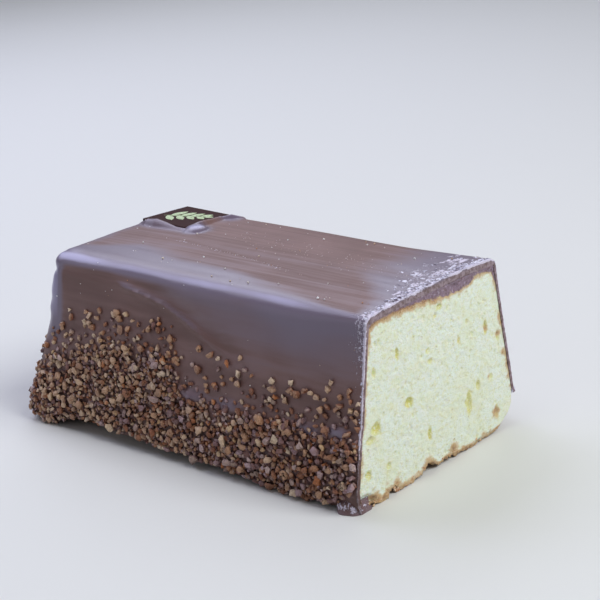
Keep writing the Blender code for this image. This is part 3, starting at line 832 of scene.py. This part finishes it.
def bloom(points, normals):
    """How much painted lavender sheen and highlight the coat takes, by its near rim, at both ends and round
    the plaque, which also makes it smoother and glossier there; below zero it is painted darker, as shade.
    """
    x, y, z = points.T
    ramp = 8 + 5 * smooth(x, -50, 0)
    near_rim = 1.05 + 0.4 * (1 - smooth(x, -66, -36))
    near_rim *= 1 - smooth(y - line_at(SHEEN_EDGE, x), -ramp, 4)
    far_end = 1 - smooth(x, -74, -56)
    reach = 12 + 40 * smooth(y, -30, 5)
    by_cut = 1.05 * (1 - smooth(CUT_X - x, 0.15 * reach, reach))
    # Painted sheen over the near half of the top, and painted shade over its far half
    middle = 0.3 * (1 - smooth(y, -8, 26)) - 0.8 * smooth(y, 4, 30)
    round_plaque = 0.9 * bell(y - 8, 5) * (1 - smooth(x, -38, -28))
    on_top = [near_rim, far_end, by_cut, middle, round_plaque]
    for spot, share, size in ((MOUND[0], 2.5, 5.5), (CURLED_LIP[1], 1.2, 6)):
        on_top.append(share * bell(np.hypot(x - spot[0], y - spot[1]), size))

    # On the sides: painted sheen, stronger to the right and up high, and painted shade low on the left
    walls = -0.25 + 0.32 * smooth(x, -45, 20) + 0.75 * smooth(x, -50, 70) * smooth(z, 38, 60)
    walls += 0.4 * smooth(x, -70, -20) * smooth(z, 58, 64)
    # Painted sheen at the uncut end's near corner, and a painted highlight along the drape's ridge
    corner = 1.75 * smooth(-x, 62, 68) * smooth(-normals[:, 1], 0.0, 0.3) * smooth(z, 28, 46)
    ridge = 0.85 * bell(line_at(DRAPE_RIDGE, x) - z + 0.7, 1.0) * between(x, *RIDGE_SHEEN_RUN)
    on_side = [walls, corner, ridge, np.zeros(len(x))]
    # Painted sheen on the lips of coating
    for lip_x, lip_z, length, _ in LIPS:
        on_side.append(0.8 * bell(x - lip_x, 1.5 * length) * bell(z - lip_z, 2.6))

    up = smooth(normals[:, 2], 0.3, 0.75)
    # A painted highlight along the crest of the near rim
    crest = 0.6 * bell(normals[:, 2] - 0.82, 0.16) * smooth(-normals[:, 1], 0.2, 0.45)
    sheen = up * np.maximum.reduce(on_top) + (1 - up) * np.maximum.reduce(on_side)
    return sheen * (0.85 + 0.35 * wander(points, (30, 7, 14), 8.0)) + crest


def scuffs(points, normals):
    """Where the knife scuffed the coat: a line along its cut edges, and patches of the top behind it."""
    x, y, _ = points.T
    behind = CUT_X - x
    up = smooth(normals[:, 2], 0.5, 0.9)
    wide = SCUFF_LINE * (0.7 + 0.4 * up + 0.3 * wander(points, (20, 3, 3), 7.0))
    line = 1 - smooth(behind, wide * 0.4, wide)
    reach = 5 + 22 * smooth(y, -32, 8)
    patch = 0.57 * up * (1 - smooth(behind, 0.3 * reach, reach))
    broken = 0.35 + 0.65 * smooth(wander(points, (4.5, 7, 4), 6.0), -0.25, 0.3)
    corner = 0.58 * bell(np.hypot(behind, y + TOP_WIDTH / 2 - 2), 7)
    crease = 0.42 * up * on_crease(x, y, 0.8, CREASE_SCUFF_RUN)
    return np.maximum.reduce([line * (0.55 + 0.45 * broken), patch * broken, corner, crease])


def lump(name, centre, radii, sheen, draw):
    """An uneven flattened lump of coating, cut flat by the board and the knife."""
    made = added(name, bpy.ops.mesh.primitive_ico_sphere_add, subdivisions=4, radius=1)
    ball = points_of(made) * MM
    swell = 1 + 0.16 * wander(ball, 0.5, draw.uniform(0, 9)) + 0.06 * wander(ball, 0.2)
    move_points(made, np.array(centre) + ball * swell[:, None] * np.array(radii) * 0.93)
    for spot, way in (((0, 0, MARGIN * MM), DOWN), (((CUT_X - MARGIN) * MM, 0, 0), TO_CUT)):
        slice_at(made, spot, way, clear_outer=True, use_fill=True, threshold=1e-6)
    places = points_of(made)
    crackled = 0.5 + 0.5 * smooth(wander(places, (2.4, 2.0, 1.6), 3.0), -0.2, 0.3)
    store(made, "scuff", 0.64 * crackled * smooth(places[:, 2], 0.2, 1.0))
    # The painted sheen and gloss that the lump takes
    store(made, "bloom", np.full(len(places), sheen))
    return made


def make_coat(draw):
    """The coat over the loaf with its lumps, and a tree to find its surface with."""
    coat = coat_block()
    move_points(coat, loaf_points(points_of(coat)))
    points, normals = points_of(coat), normals_of(coat)
    relief, bed = coat_relief(points, normals)
    at_cut = smooth(CUT_X - points[:, 0], 0.0, 1.5)
    outwards = normals * np.column_stack([at_cut, np.ones(len(points)), np.ones(len(points))])
    points = points + outwards * relief[:, None]
    points[:, 2] = plaque_surroundings(points, normals)
    points = np.clip(points, LOW + 0.05, HIGH)
    move_points(coat, points)
    # Where painted shade between the nuts darkens the coat
    store(coat, "bed", bed * smooth(nut_line(points[:, 0], points[:, 1]) - points[:, 2], 3, 13))
    # Painted sheen, highlights and shade for the coat's material, which also smooth and gloss it
    store(coat, "bloom", bloom(points, normals))
    tree = BVHTree.FromPolygons([Vector(p) for p in points], face_lists(coat))

    thickness = NEAR_ICING + (TOP_ICING - NEAR_ICING) * smooth(normals[:, 2], 0.3, 0.9)
    thickness -= (NEAR_ICING - FAR_ICING) * smooth(normals[:, 1], 0.3, 0.9)
    group = coat.vertex_groups.new(name="thickness")
    for i, share in enumerate(thickness / TOP_ICING):
        group.add([i], float(share), "REPLACE")
    skin = coat.modifiers.new("Solidify", "SOLIDIFY")
    skin.thickness = TOP_ICING * MM
    skin.offset = -1
    skin.use_even_offset = False
    skin.vertex_group = group.name
    activate(coat)
    bpy.ops.object.modifier_apply(modifier=skin.name)
    coat.vertex_groups.clear()
    move_points(coat, np.clip(points_of(coat), LOW, HIGH))
    scuffs_inside = 0.5 * smooth(-normals[:, 1], 0.3, 0.8) - 1.1
    store(coat, "scuff", np.append(scuffs(points, normals), scuffs_inside))
    store(coat, "inside", np.append(np.zeros(len(points)), np.ones(len(points))))
    join([coat, lump("foot", *FOOT, FOOT_SHEEN, draw), lump("far_drip", *FAR_DRIP, DRIP_SHEEN, draw)])
    shade(coat, 50)
    return coat, tree


# The crumb


def crumb_block():
    """The crumb as a straight block, finely gridded on the cut and coarser behind it."""
    half = TOP_WIDTH / 2 - NEAR_ICING
    crumb = block("cake_crumb", (BACK_X + NEAR_ICING, -half, 0), (CUT_X, half, CRUMB_TOP + BITE))
    split(crumb, CRUMB_PARTS)
    for behind in CRUMB_SLICES:
        slice_at(crumb, ((CUT_X - behind) * MM, 0, 0), TO_CUT)
    _, normals = face_facts(crumb)
    edit(crumb, "FACE", normals[:, 0] < -FLAT, bpy.ops.mesh.dissolve_faces)
    return crumb


def crumb_points(straight):
    """Spreads a straight block's points into the crumb's shape inside the coat."""
    half = TOP_WIDTH / 2 - NEAR_ICING
    rim = np.maximum(0.8, rim_radius(straight[:, 0]) - TOP_ICING + 0.6)
    corner = CORNER_RADIUS - NEAR_ICING
    x, y, z = rounded(straight, half, BACK_X + NEAR_ICING, CRUMB_TOP + BITE, corner, rim).T
    bottom = underside(x, y * BASE_WIDTH / TOP_WIDTH)
    settled = z + bottom * np.maximum(0, 1 - z / CRUST_HEIGHT)
    inset = np.where(y < 0, NEAR_ICING, FAR_ICING) - BITE
    shoulder = np.where(y < 0, round_shoulder(z, NEAR_SHOULDER), round_shoulder(z, FAR_SHOULDER))
    y = y / half * (half_width(settled) - inset - shoulder)
    back = end_length(settled) - NEAR_ICING - round_shoulder(z, END_SHOULDER)
    x = CUT_X - (CUT_X - x) * back / (TOP_LENGTH - NEAR_ICING)
    points = np.column_stack([x, y, settled + crown(x, y, settled)])
    return points + HEAP_UNDER * heap(points)


def small_pores(draw):
    """Many small pores over the cut, taller than wide, as (y, z, width, height, depth)."""
    pores = []
    for _ in range(PORES):
        z = draw.uniform(3, 64)
        y = draw.uniform(-1, 1) * (half_width(z) - 3)
        width = 0.5 + 1.1 * draw.random() ** 2
        pores.append((y, z, width, width * draw.uniform(0.7, 1.9), draw.uniform(0.35, 1.0)))
    return pores


def pore_depths(y, z, pores, core):
    """How deep the pores open at each point of the cut, and how yellow they are round their core."""
    depth, stain = np.zeros(len(y)), np.zeros(len(y))
    for pore_y, pore_z, width, height, deep in pores:
        away = np.hypot((y - pore_y) / (width / 2), (z - pore_z) / (height / 2))
        depth = np.maximum(depth, deep * (1 - smooth(away, core, 1.35)))
        stain = np.maximum(stain, deep * (1 - smooth(away, core, 2.0)))
    return depth, stain


def crust_shares(points, on_cut):
    """How baked the crumb is, and how much chocolate the knife dragged over it."""
    x, y, z = points.T
    frayed = wander(points, (4, 3, 3), 6.0)
    patchy = wander(points, (9, 7, 8), 2.0)
    from_side = half_width(z) - np.where(y < 0, NEAR_ICING, FAR_ICING) - np.abs(y)
    from_below = z - underside(x, y)
    over_line = z - line_at(PALE_LINE, y) + 0.5 * frayed
    upper_near = smooth(z, 48, 61) * (y < 0)
    nearwards = smooth(-y, -8, 4)
    thick = smooth(patchy, -0.4, 0.5)
    side = 1 - smooth(from_side + 1.2 * frayed, -0.8, 1.6 + 1.6 * thick + 1.2 * upper_near)
    side *= 0.5 + 0.35 * smooth(patchy, -0.3, 0.3) + 0.5 * upper_near
    below = 1 - smooth(from_below + 1.3 * frayed, 0.1, 1.8 + 2.4 * thick)
    below *= 0.85 + 0.4 * smooth(-patchy, -0.3, 0.4)
    above = (0.8 + 0.35 * nearwards) * smooth(over_line + 0.7 * frayed, -2.6 - nearwards, 0.8)
    bits = [share * bell(np.hypot(y - bit_y, z - bit_z), size) for bit_y, bit_z, size, share in CRUST_BITS]
    baked = np.where(on_cut, np.maximum.reduce([side, below, above, *bits]), 1.1)
    return baked, np.where(on_cut, smooth(over_line, -0.7, 1.6), 0)


def make_crumb(draw):
    crumb = crumb_block()
    straight = points_of(crumb)
    on_cut = straight[:, 0] > CUT_X - 0.01
    points = crumb_points(straight)
    x, y, z = points.T  # these change with the points
    opened, hole_stain = pore_depths(y, z, HOLES, 0.45)
    pitted, pit_stain = pore_depths(y, z, small_pores(draw), 0)
    cut_in = 0.42 + uneven(points, CUT_GRAIN) + 0.6 * np.maximum(opened, pitted)
    cut_in *= 1 - 0.75 * smooth(straight[:, 2], CRUMB_TOP - 1.5, CRUMB_TOP)
    (_, foot_y, foot_z), (_, foot_width, foot_height) = FOOT
    by_foot = np.hypot((y - foot_y) / foot_width, (z - foot_z) / foot_height)
    cut_in += 1.6 * (1 - smooth(by_foot, 0.75, 1.05))
    bumps = uneven(points, UNDER_BUMPS) * smooth(14 - z, 0, 8)
    points[:, 0] -= np.where(on_cut, np.maximum(MARGIN, cut_in), 0)
    points[:, 2] += uneven(points, TORN_EDGE) * (1 - smooth(z - underside(x, y), 0.0, 3.5))
    under_coat = 2.6 * smooth(8 - z, 0, 5) * smooth(-y, 20, 36) * (1 - smooth(x, 40, 70))
    points += normals_of(crumb) * ((bumps - under_coat) * np.where(on_cut, 0, 1))[:, None]
    points[:, 2] = np.maximum(points[:, 2], MARGIN)
    points = np.clip(points, LOW, HIGH)
    move_points(crumb, points)
    baked, smear = crust_shares(points, on_cut)
    store(crumb, "pore", np.where(on_cut, np.clip(hole_stain / 1.2 + pit_stain / 1.6, 0, 1), 0))
    store(crumb, "baked", baked)
    store(crumb, "smear", smear)
    # Off the cut the crumb is made dark brown, partly a darker crust and partly painted shade under the loaf
    store(crumb, "roasted", np.where(on_cut, 0, 0.8 * smooth(CUT_X - points[:, 0], 1, 6)))
    shade(crumb, 70)
    return crumb


# Chopped nuts, flakes and crumbs


def sliced_ball(name, cuts, draw):
    """A lump about 1 mm across with a rounded side and broken flat ones."""
    made = added(name, bpy.ops.mesh.primitive_ico_sphere_add, subdivisions=1, radius=0.5 * MM)
    for _ in range(cuts):
        way = Vector([draw.gauss(0, 1) for _ in range(3)]).normalized()
        slice_at(made, way * draw.uniform(*CHOP_PLACES) * MM, way, clear_outer=True, use_fill=True)
    push = [[draw.uniform(-CHOP_UNEVEN, CHOP_UNEVEN) for _ in range(3)] for _ in made.data.vertices]
    move_points(made, points_of(made) + np.array(push))
    return made


def shape_library(name, count, cuts, draw):
    """Several lumps as (points, faces), with their objects removed."""
    shapes = []
    for i in range(count):
        made = sliced_ball(f"{name}_{i}", cuts, draw)
        shapes.append((points_of(made), face_lists(made)))
        bpy.data.objects.remove(made)
    return shapes


def laid(shape, matrix, place, **kept):
    """A lump turned and put in place inside the solids' box, as (points, faces, what its points keep)."""
    points = shape[0] @ matrix.T + place
    over = np.maximum(points.max(axis=0) - (HIGH - MARGIN), 0)
    under = np.maximum(LOW + MARGIN - points.min(axis=0), 0)
    return points - over + under, shape[1], kept


def scatter(name, lumps):
    """One mesh of many lumps, each as laid gives it."""
    faces, kept, start = [], {}, 0
    for points, lump_faces, values in lumps:
        faces.extend([[start + i for i in face] for face in lump_faces])
        for key, value in values.items():
            kept.setdefault(key, []).append(np.broadcast_to(value, len(points)))
        start += len(points)
    mesh = bpy.data.meshes.new(name)
    mesh.from_pydata(np.concatenate([points for points, _, _ in lumps]) * MM, [], faces)
    mesh.update()
    made = linked(name, mesh)
    for key, values in kept.items():
        store(made, key, np.concatenate(values))
    return made


def struck(tree, start, way):
    """Where a line from this start meets the coat and the way that the coat looks there, or None."""
    hit, normal, _, _ = tree.ray_cast(Vector(start), Vector(way))
    return None if hit is None else (np.array(hit), np.array(normal))


def random_turn(numbers):
    turn = Quaternion(numbers.normal(size=4))
    turn.normalize()
    return np.array(turn.to_matrix())


def skin_points(run, z):
    """Points on the coat's side and the ways they face, run mm back from the knife along the near side.

    The path turns the near corner, crosses the end, and comes forward again on the far side.
    """
    half, back = half_width(z), CUT_X - end_length(z)
    arc = CORNER_RADIUS * math.pi / 2
    to_corner = CUT_X - back - CORNER_RADIUS
    across = 2 * (half - CORNER_RADIUS)
    to_far = to_corner + arc + across
    angle = np.clip((run - to_corner) / CORNER_RADIUS, 0, math.pi / 2)
    angle = angle + np.clip((run - to_far) / CORNER_RADIUS, 0, math.pi / 2)
    way = np.column_stack([-np.sin(angle), -np.cos(angle), np.zeros(len(run))])
    forward = np.maximum(0, run - to_far - arc)
    x = np.maximum(CUT_X - run, back + CORNER_RADIUS) + forward
    y = CORNER_RADIUS - half + np.clip(run - to_corner - arc, 0, across)
    points = np.column_stack([x, y, z]) + way * CORNER_RADIUS
    return points + heap(points), way


def spaced(places, sizes, crowding):
    """The indices of places that can be kept without two of them standing too close."""
    held, held_sizes, kept = np.empty_like(places), np.empty(len(places)), []
    for i, (place, size) in enumerate(zip(places, sizes)):
        count = len(kept)
        apart = np.linalg.norm(held[:count] - place, axis=1)
        if (apart >= crowding * (held_sizes[:count] + size)).all():
            held[count], held_sizes[count] = place, size
            kept.append(i)
    return kept


def nib_sizes(x, numbers):
    """Chopped nuts run from fine to coarse, a little coarser towards the cut."""
    return (1.8 + 1.9 * numbers.random(len(x)) ** 1.6) * (0.98 + 0.08 * smooth(x, -16, 64))


def looseness(x):
    """0 towards the cut, and 1 towards the uncut end, where the nuts thin out slowly up to their line."""
    return smooth(-x, -4, 14)


def nut_candidates(numbers, count, top):
    """Random places round the sides with their ways out, and how far they lie under the nuts' line."""
    run = numbers.uniform(0, 2 * BASE_LENGTH + BASE_WIDTH, count)
    z = numbers.uniform(0.3, top, count)
    places, ways = skin_points(run, z)
    x, y, _ = places.T
    near = y < 0
    loose = looseness(x)
    ragged = (5 + 4 * loose) * wander(places, 6, 1.0) + (2 + 3 * loose) * wander(places, 3, 2.0)
    under = nut_line(x, y) + 2.5 * (1 - loose) + ragged - z
    bare = near & (z < 8.5 - 0.5 * (CUT_X - x) + 3 * wander(places, 4, 8.0))
    bare |= near & (np.hypot(x - PIT[0], z - PIT[1]) < 1.8)
    for lip_x, lip_z, length, height in LIPS:
        bare |= near & (height > 1) & (np.hypot((x - lip_x) / (0.8 * length), (z - lip_z) / 1.9) < 1)
    bare |= (y > 0) & (x > 79)
    real = (x < CUT_X - 0.3) & (z > hem(x, y) + 0.2) & ~bare
    return places[real], ways[real], under[real]


def nib(shapes, hit, normal, size, lift, dips, numbers):
    """One nib as it lies on the coat, with its own tone and the coating that covers its foot."""
    stretch = np.diag(size * numbers.uniform(0.72, 1.4, 3))
    flatten = np.eye(3) - 0.22 * np.outer(normal, normal)
    matrix = flatten @ random_turn(numbers) @ stretch
    tone = numbers.random()
    dipped = numbers.uniform(*dips)
    shape = shapes[numbers.integers(len(shapes))]
    rise = shape[0] @ matrix.T @ normal / size + lift
    smear = 1 - smooth(rise, -0.1, 0.5) + dipped
    return laid(shape, matrix, hit + normal * size * lift, tone=tone, smear=smear)


def make_nuts(tree, numbers, draw):
    """All the chopped nuts: one layer in the coat, more lying on it, grains, and strays above them."""
    shapes = shape_library("nib", 16, 5, draw)
    nuts, grains = [], []

    def add(places, ways, sizes, crowding, lift, dips=DIPS, kept=nuts, room=1.0):
        for i in spaced(places, sizes * room, crowding):
            found = struck(tree, places[i] + ways[i] * 12, -ways[i])
            if found:
                kept.append((*found, sizes[i], lift, dips))

    def in_the_thick(tries, top, depth, more):
        """Candidates at least this deep under the nuts' line, and more where they lie loose."""
        places, ways, under = nut_candidates(numbers, tries, top)
        deep = under > depth + more * looseness(places[:, 0])
        return places[deep], ways[deep], under[deep]

    places, ways, under = in_the_thick(*PRESSED_NUTS)
    sizes = nib_sizes(places[:, 0], numbers)
    room = 1 + (1 - smooth(under, 0, 5 + 8 * looseness(places[:, 0])))
    add(places, ways, sizes, crowding=0.36, lift=0.12, room=room)
    places, ways, _ = in_the_thick(*HEAPED_NUTS)
    heaped = wander(places, 6, 5.0) > -0.2
    places, ways = places[heaped], ways[heaped]
    add(places, ways, nib_sizes(places[:, 0], numbers), crowding=0.46, lift=0.5)
    places, ways, _ = in_the_thick(*NUT_GRAINS)
    add(places, ways, numbers.uniform(*GRAIN_SIZES, len(places)), crowding=0.85, lift=0.7, kept=grains)

    strays = np.array(STRAYS, float)
    strays = np.vstack([strays, strays[numbers.random(len(strays)) < 0.6] + numbers.normal(0, 2.2, 2)])
    apart = numbers.normal(0, 1.9, strays.shape)
    apart[: len(STRAYS)] = 0
    strays_x, strays_z = (strays + apart).T
    places, ways = skin_points(CUT_X - np.minimum(strays_x, CUT_X - 1.5), strays_z)
    sizes = numbers.uniform(*STRAY_SIZES, len(places))
    add(places, ways, sizes, crowding=0.36, lift=0.22, dips=STRAY_DIPS)
    places, ways, under = nut_candidates(numbers, *LONE_NUTS)
    chance = np.where(under < 0, 0.4 * np.exp(under / 2.6), 0)
    lucky = numbers.random(len(places)) < chance
    sizes = numbers.uniform(*LONE_SIZES, int(lucky.sum()))
    add(places[lucky], ways[lucky], sizes, crowding=0.3, lift=0.2, dips=STRAY_DIPS)

    kinds = {kind: [] for kind in NUT_KINDS}
    for row in nuts:
        pick = numbers.random()
        leftwards = smooth(-row[0][0], -40, 30)
        stray = row[-1] == STRAY_DIPS
        pale, toasted = (0.5, 0.95) if stray else (0.13 + 0.39 * leftwards, 0.6 + 0.26 * leftwards)
        kind = "pale" if pick < pale else "toasted" if pick < toasted else "coated"
        kinds[kind].append(nib(shapes, *row, numbers))
    for row in grains:
        kind = "coated" if numbers.random() < 0.7 else "toasted"
        kinds[kind].append(nib(shapes, *row, numbers))
    return {kind: scatter(f"nut_nibs_{kind}", nibs) for kind, nibs in kinds.items()}


def flakes(tree, shapes, numbers):
    """Flakes of chocolate that the knife broke off: along its edges, and strewn on the top behind it."""
    made = []

    def add(place, normal, size, thin):
        stretch = np.diag(size * np.array([1.3, 0.9, thin]) * numbers.uniform(0.7, 1.3, 3))
        lean = np.array(Vector((0, 0, 1)).rotation_difference(Vector(normal)).to_matrix())
        spin = np.array(Matrix.Rotation(numbers.uniform(0, math.tau), 3, "Z"))
        tilt = np.array(Matrix.Rotation(numbers.normal(0, 0.35), 3, "X"))
        shape = shapes[numbers.integers(len(shapes))]
        made.append(laid(shape, lean @ spin @ tilt @ stretch, place))

    for side, count in EDGE_FLAKES:
        for z in numbers.uniform(1.0, RIM_HEIGHT - 1.5, count):
            z = z if side < 0 else 13 + z * 0.8
            y = side * (half_width(z) - abs(numbers.normal(0, 0.25)))
            place = np.array([CUT_X - abs(numbers.normal(0, 0.35)), y, z])
            add(place, (0.75, side, 0.1), 0.3 + 0.7 * numbers.random() ** 2, thin=0.35)
    rim_y = numbers.uniform(-TOP_WIDTH / 2 + 1, TOP_WIDTH / 2 - 1, RIM_FLAKES)
    rim_back = np.abs(numbers.normal(0, 0.4, RIM_FLAKES))
    rim_back += numbers.choice([0, 1.5, 2.4], RIM_FLAKES, p=[0.55, 0.25, 0.2])
    strewn_y = numbers.normal(6, 16, STREWN_FLAKES)
    strewn_back = 1 + np.abs(numbers.normal(0, 7.0, STREWN_FLAKES)) * (0.4 + 0.6 * bell(strewn_y - 6, 18))
    for y, behind in zip(np.append(rim_y, strewn_y), np.append(rim_back, strewn_back)):
        if abs(y) > TOP_WIDTH / 2 - 0.5:
            continue
        found = struck(tree, (min(CUT_X - behind, CUT_X - 0.1), y, RIM_HEIGHT + 10), DOWN)
        if found:
            hit, normal = found
            add(hit + 0.05 * normal, normal, 0.35 + 1.3 * numbers.random() ** 3, thin=0.25)
    return made


def crumbs(tree, shapes, numbers):
    """Crumbs on the crust below the cut, and loose ones on the top and the near side of the coat."""

    def on_top():
        return numbers.uniform(-66, 85), numbers.uniform(-36, 36), OVERHEAD

    def on_trail():
        x = numbers.uniform(-16, 64)
        return x, 10.5 - 0.12 * x + numbers.normal(0, 4), OVERHEAD

    def beside():
        return numbers.uniform(-71, 85), -60, numbers.uniform(28, 66)

    def in_crease():
        x = numbers.uniform(-41, 40)
        return x, line_at(TOP_CREASE, x) + numbers.normal(0, 0.4), OVERHEAD

    starts, made = [], []
    for start, way, (count, fine, coarse) in (
            (on_top, DOWN, TOP_CRUMBS), (on_trail, DOWN, TRAIL_CRUMBS),
            (beside, TO_FAR_SIDE, SIDE_CRUMBS), (in_crease, DOWN, CREASE_CRUMBS)):
        starts += [(start(), way, fine, coarse) for _ in range(count)]
    for y in numbers.uniform(-41, 36, CRUST_CRUMBS):
        z = line_at(CUT_UNDERSIDE, y) + 0.3 + 1.6 * numbers.random() ** 2
        tone = numbers.uniform(0.72, 1.0)
        matrix = random_turn(numbers) * (0.5 + 1.0 * numbers.random() ** 2)
        place = np.array([CUT_X - numbers.uniform(0.7, 1.3), y, z])
        made.append(laid(shapes[numbers.integers(len(shapes))], matrix, place, tone=tone))
    for start, way, fine, coarse in starts:
        found = struck(tree, start, way)
        if found:
            hit, normal = found
            size = fine + (coarse - fine) * numbers.random() ** 2
            matrix = random_turn(numbers) * size
            tone = numbers.random() ** 1.5
            shape = shapes[numbers.integers(len(shapes))]
            made.append(laid(shape, matrix, hit + 0.25 * size * normal, tone=tone))
    return made


# The plaque's print


def leaf(name, length, width, degrees, start):
    """A flat pointed leaf, thin and closed, turned this far, with its foot at this place along the stem."""
    made = added(name, bpy.ops.mesh.primitive_cylinder_add, vertices=20, radius=1 * MM, depth=0.3 * MM)
    x, y, z = points_of(made).T
    pinch = (1 - np.abs(x) ** 3) * 0.9 + 0.1
    flat = np.column_stack([x * length / 2 + length / 2, y * width / 2 * pinch, z])
    turn = Matrix.Rotation(math.radians(degrees), 3, "Z")
    move_points(made, flat @ np.array(turn).T + np.array([start, 0, 0]))
    return made


def make_print():
    """A generic sprig of leaves on a stem, where the plaque carries its print."""
    parts = [leaf("plaque_print", 20, 0.9, 0, -10)]
    for i in range(4):
        for side in (-1, 1):
            start = -7.5 + 4.4 * i + 0.6 * side
            parts.append(leaf(f"leaf_{i}_{side}", 8.6 - 1.0 * i, 3.3 - 0.2 * i, side * (56 - 5 * i), start))
    parts.append(leaf("leaf_tip", 4.6, 2.4, 0, 7.6))
    sprig = join(parts)
    lean = Matrix.Rotation(PLAQUE_TURN[2], 3, "Z") @ Matrix.Rotation(PLAQUE_TURN[0], 3, "X")
    diagonal = Matrix.Rotation(math.radians(24), 3, "Z")
    points = points_of(sprig) @ np.array(diagonal).T + np.array([0, 0, PLAQUE_SIZE[2] / 2])
    move_points(sprig, points @ np.array(lean).T + np.array(PLAQUE_CENTRE))
    shade(sprig, 30)
    return sprig


# Stage

# Soft lights, as (name, place, size, power, colour), and the room's own light
PANELS = (
    ("window", (900, 150, 1050), 700, 13.6, (0.98, 0.995, 1.0)),
    ("sky_behind", (-708, 776, 832), 700, 3.4, (0.84, 0.87, 1.0)),
    ("sky_left", (-790, 10, 890), 900, 7.2, (0.75, 0.77, 1.0)),
    ("sky_front", (-800, -880, 350), 700, 1.1, (0.85, 0.87, 1.0)))
ROOM_COLOUR, ROOM_STRENGTH = (0.93, 0.94, 1.0, 1), 0.175

# The camera's azimuth, elevation and roll in degrees, its place, and its lens on a sensor this wide
VIEW_ANGLES = (42.3475, 18.7059, -4.4802)
VIEW_PLACE = (408.13, -421.27, 245.5)
LENS, SENSOR = 97.13, 36


def make_floor():
    floor = block("floor", (-4000, -4000, -20), (4000, 4000, 0))
    edit(floor, "FACE", all_faces(floor), bpy.ops.mesh.subdivide, number_cuts=2)
    floor.data.materials.append(surface(coordinates("pale_floor"), (222, 223, 220), 0.6))


def panel(name, place, size, power, tint):
    """A soft square light at a place in mm that faces the middle of the cake."""
    light = bpy.data.lights.new(name, "AREA")
    light.shape = "SQUARE"
    light.size = size * MM
    light.energy = power
    light.color = tint
    lamp = linked(name, light)
    lamp.location = Vector(place) * MM
    lamp.rotation_mode = "QUATERNION"
    lamp.rotation_quaternion = (lamp.location - Vector((0, 0, 30)) * MM).to_track_quat("Z", "Y")
    lamp.visible_camera = False


def make_lights():
    for row in PANELS:
        panel(*row)
    world = bpy.data.worlds.new("soft_room")
    world.use_nodes = True
    background = world.node_tree.nodes["Background"]
    background.inputs["Color"].default_value = ROOM_COLOUR
    background.inputs["Strength"].default_value = ROOM_STRENGTH
    bpy.context.scene.world = world


def make_camera():
    """The photograph's viewpoint: from the near side by the cut, a little above, and slightly rolled."""
    azimuth, elevation, roll = (math.radians(a) for a in VIEW_ANGLES)
    level_reach = math.cos(elevation)
    back = Vector((math.sin(azimuth) * level_reach, -math.cos(azimuth) * level_reach, math.sin(elevation)))
    level = Vector((math.cos(azimuth), math.sin(azimuth), 0))
    upright = back.cross(level)
    right = level * math.cos(roll) + upright * math.sin(roll)
    up = upright * math.cos(roll) - level * math.sin(roll)
    lens = bpy.data.cameras.new("camera")
    lens.sensor_width = SENSOR
    lens.lens = LENS
    lens.clip_start = 10 * MM
    lens.clip_end = 20
    camera = linked("camera", lens)
    turn = Matrix((right, up, back)).transposed().to_4x4()
    camera.matrix_world = Matrix.Translation(Vector(VIEW_PLACE) * MM) @ turn
    bpy.context.scene.camera = camera


def main():
    draw = random.Random(SEED)
    numbers = np.random.default_rng(SEED)
    bpy.context.scene.view_settings.view_transform = "Standard"
    make_camera()
    make_lights()
    make_floor()
    coat, tree = make_coat(draw)
    finish(coat, milk_chocolate(), "milk_chocolate", "chocolate_coating")
    finish(make_crumb(draw), sponge_crumb(), "sponge", "cake_sponge")
    for kind, nibs in make_nuts(tree, numbers, draw).items():
        shade(nibs, 75)
        finish(nibs, nut(f"nut_{kind}", *NUT_KINDS[kind]), "milk_chocolate", "chocolate_coating")
    splinters = scatter("chocolate_flakes", flakes(tree, shape_library("flake", 8, 2, draw), numbers))
    finish(splinters, pale_flakes(), "milk_chocolate")
    bits = scatter("loose_crumbs", crumbs(tree, shape_library("bit", 6, 1, draw), numbers))
    finish(bits, dry_crumbs(), "sponge")
    finish(make_print(), cocoa_butter_print(), "dark_chocolate")
    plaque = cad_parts["chocolate_plaque"]
    plaque.data.materials[0] = dark_chocolate()


main()
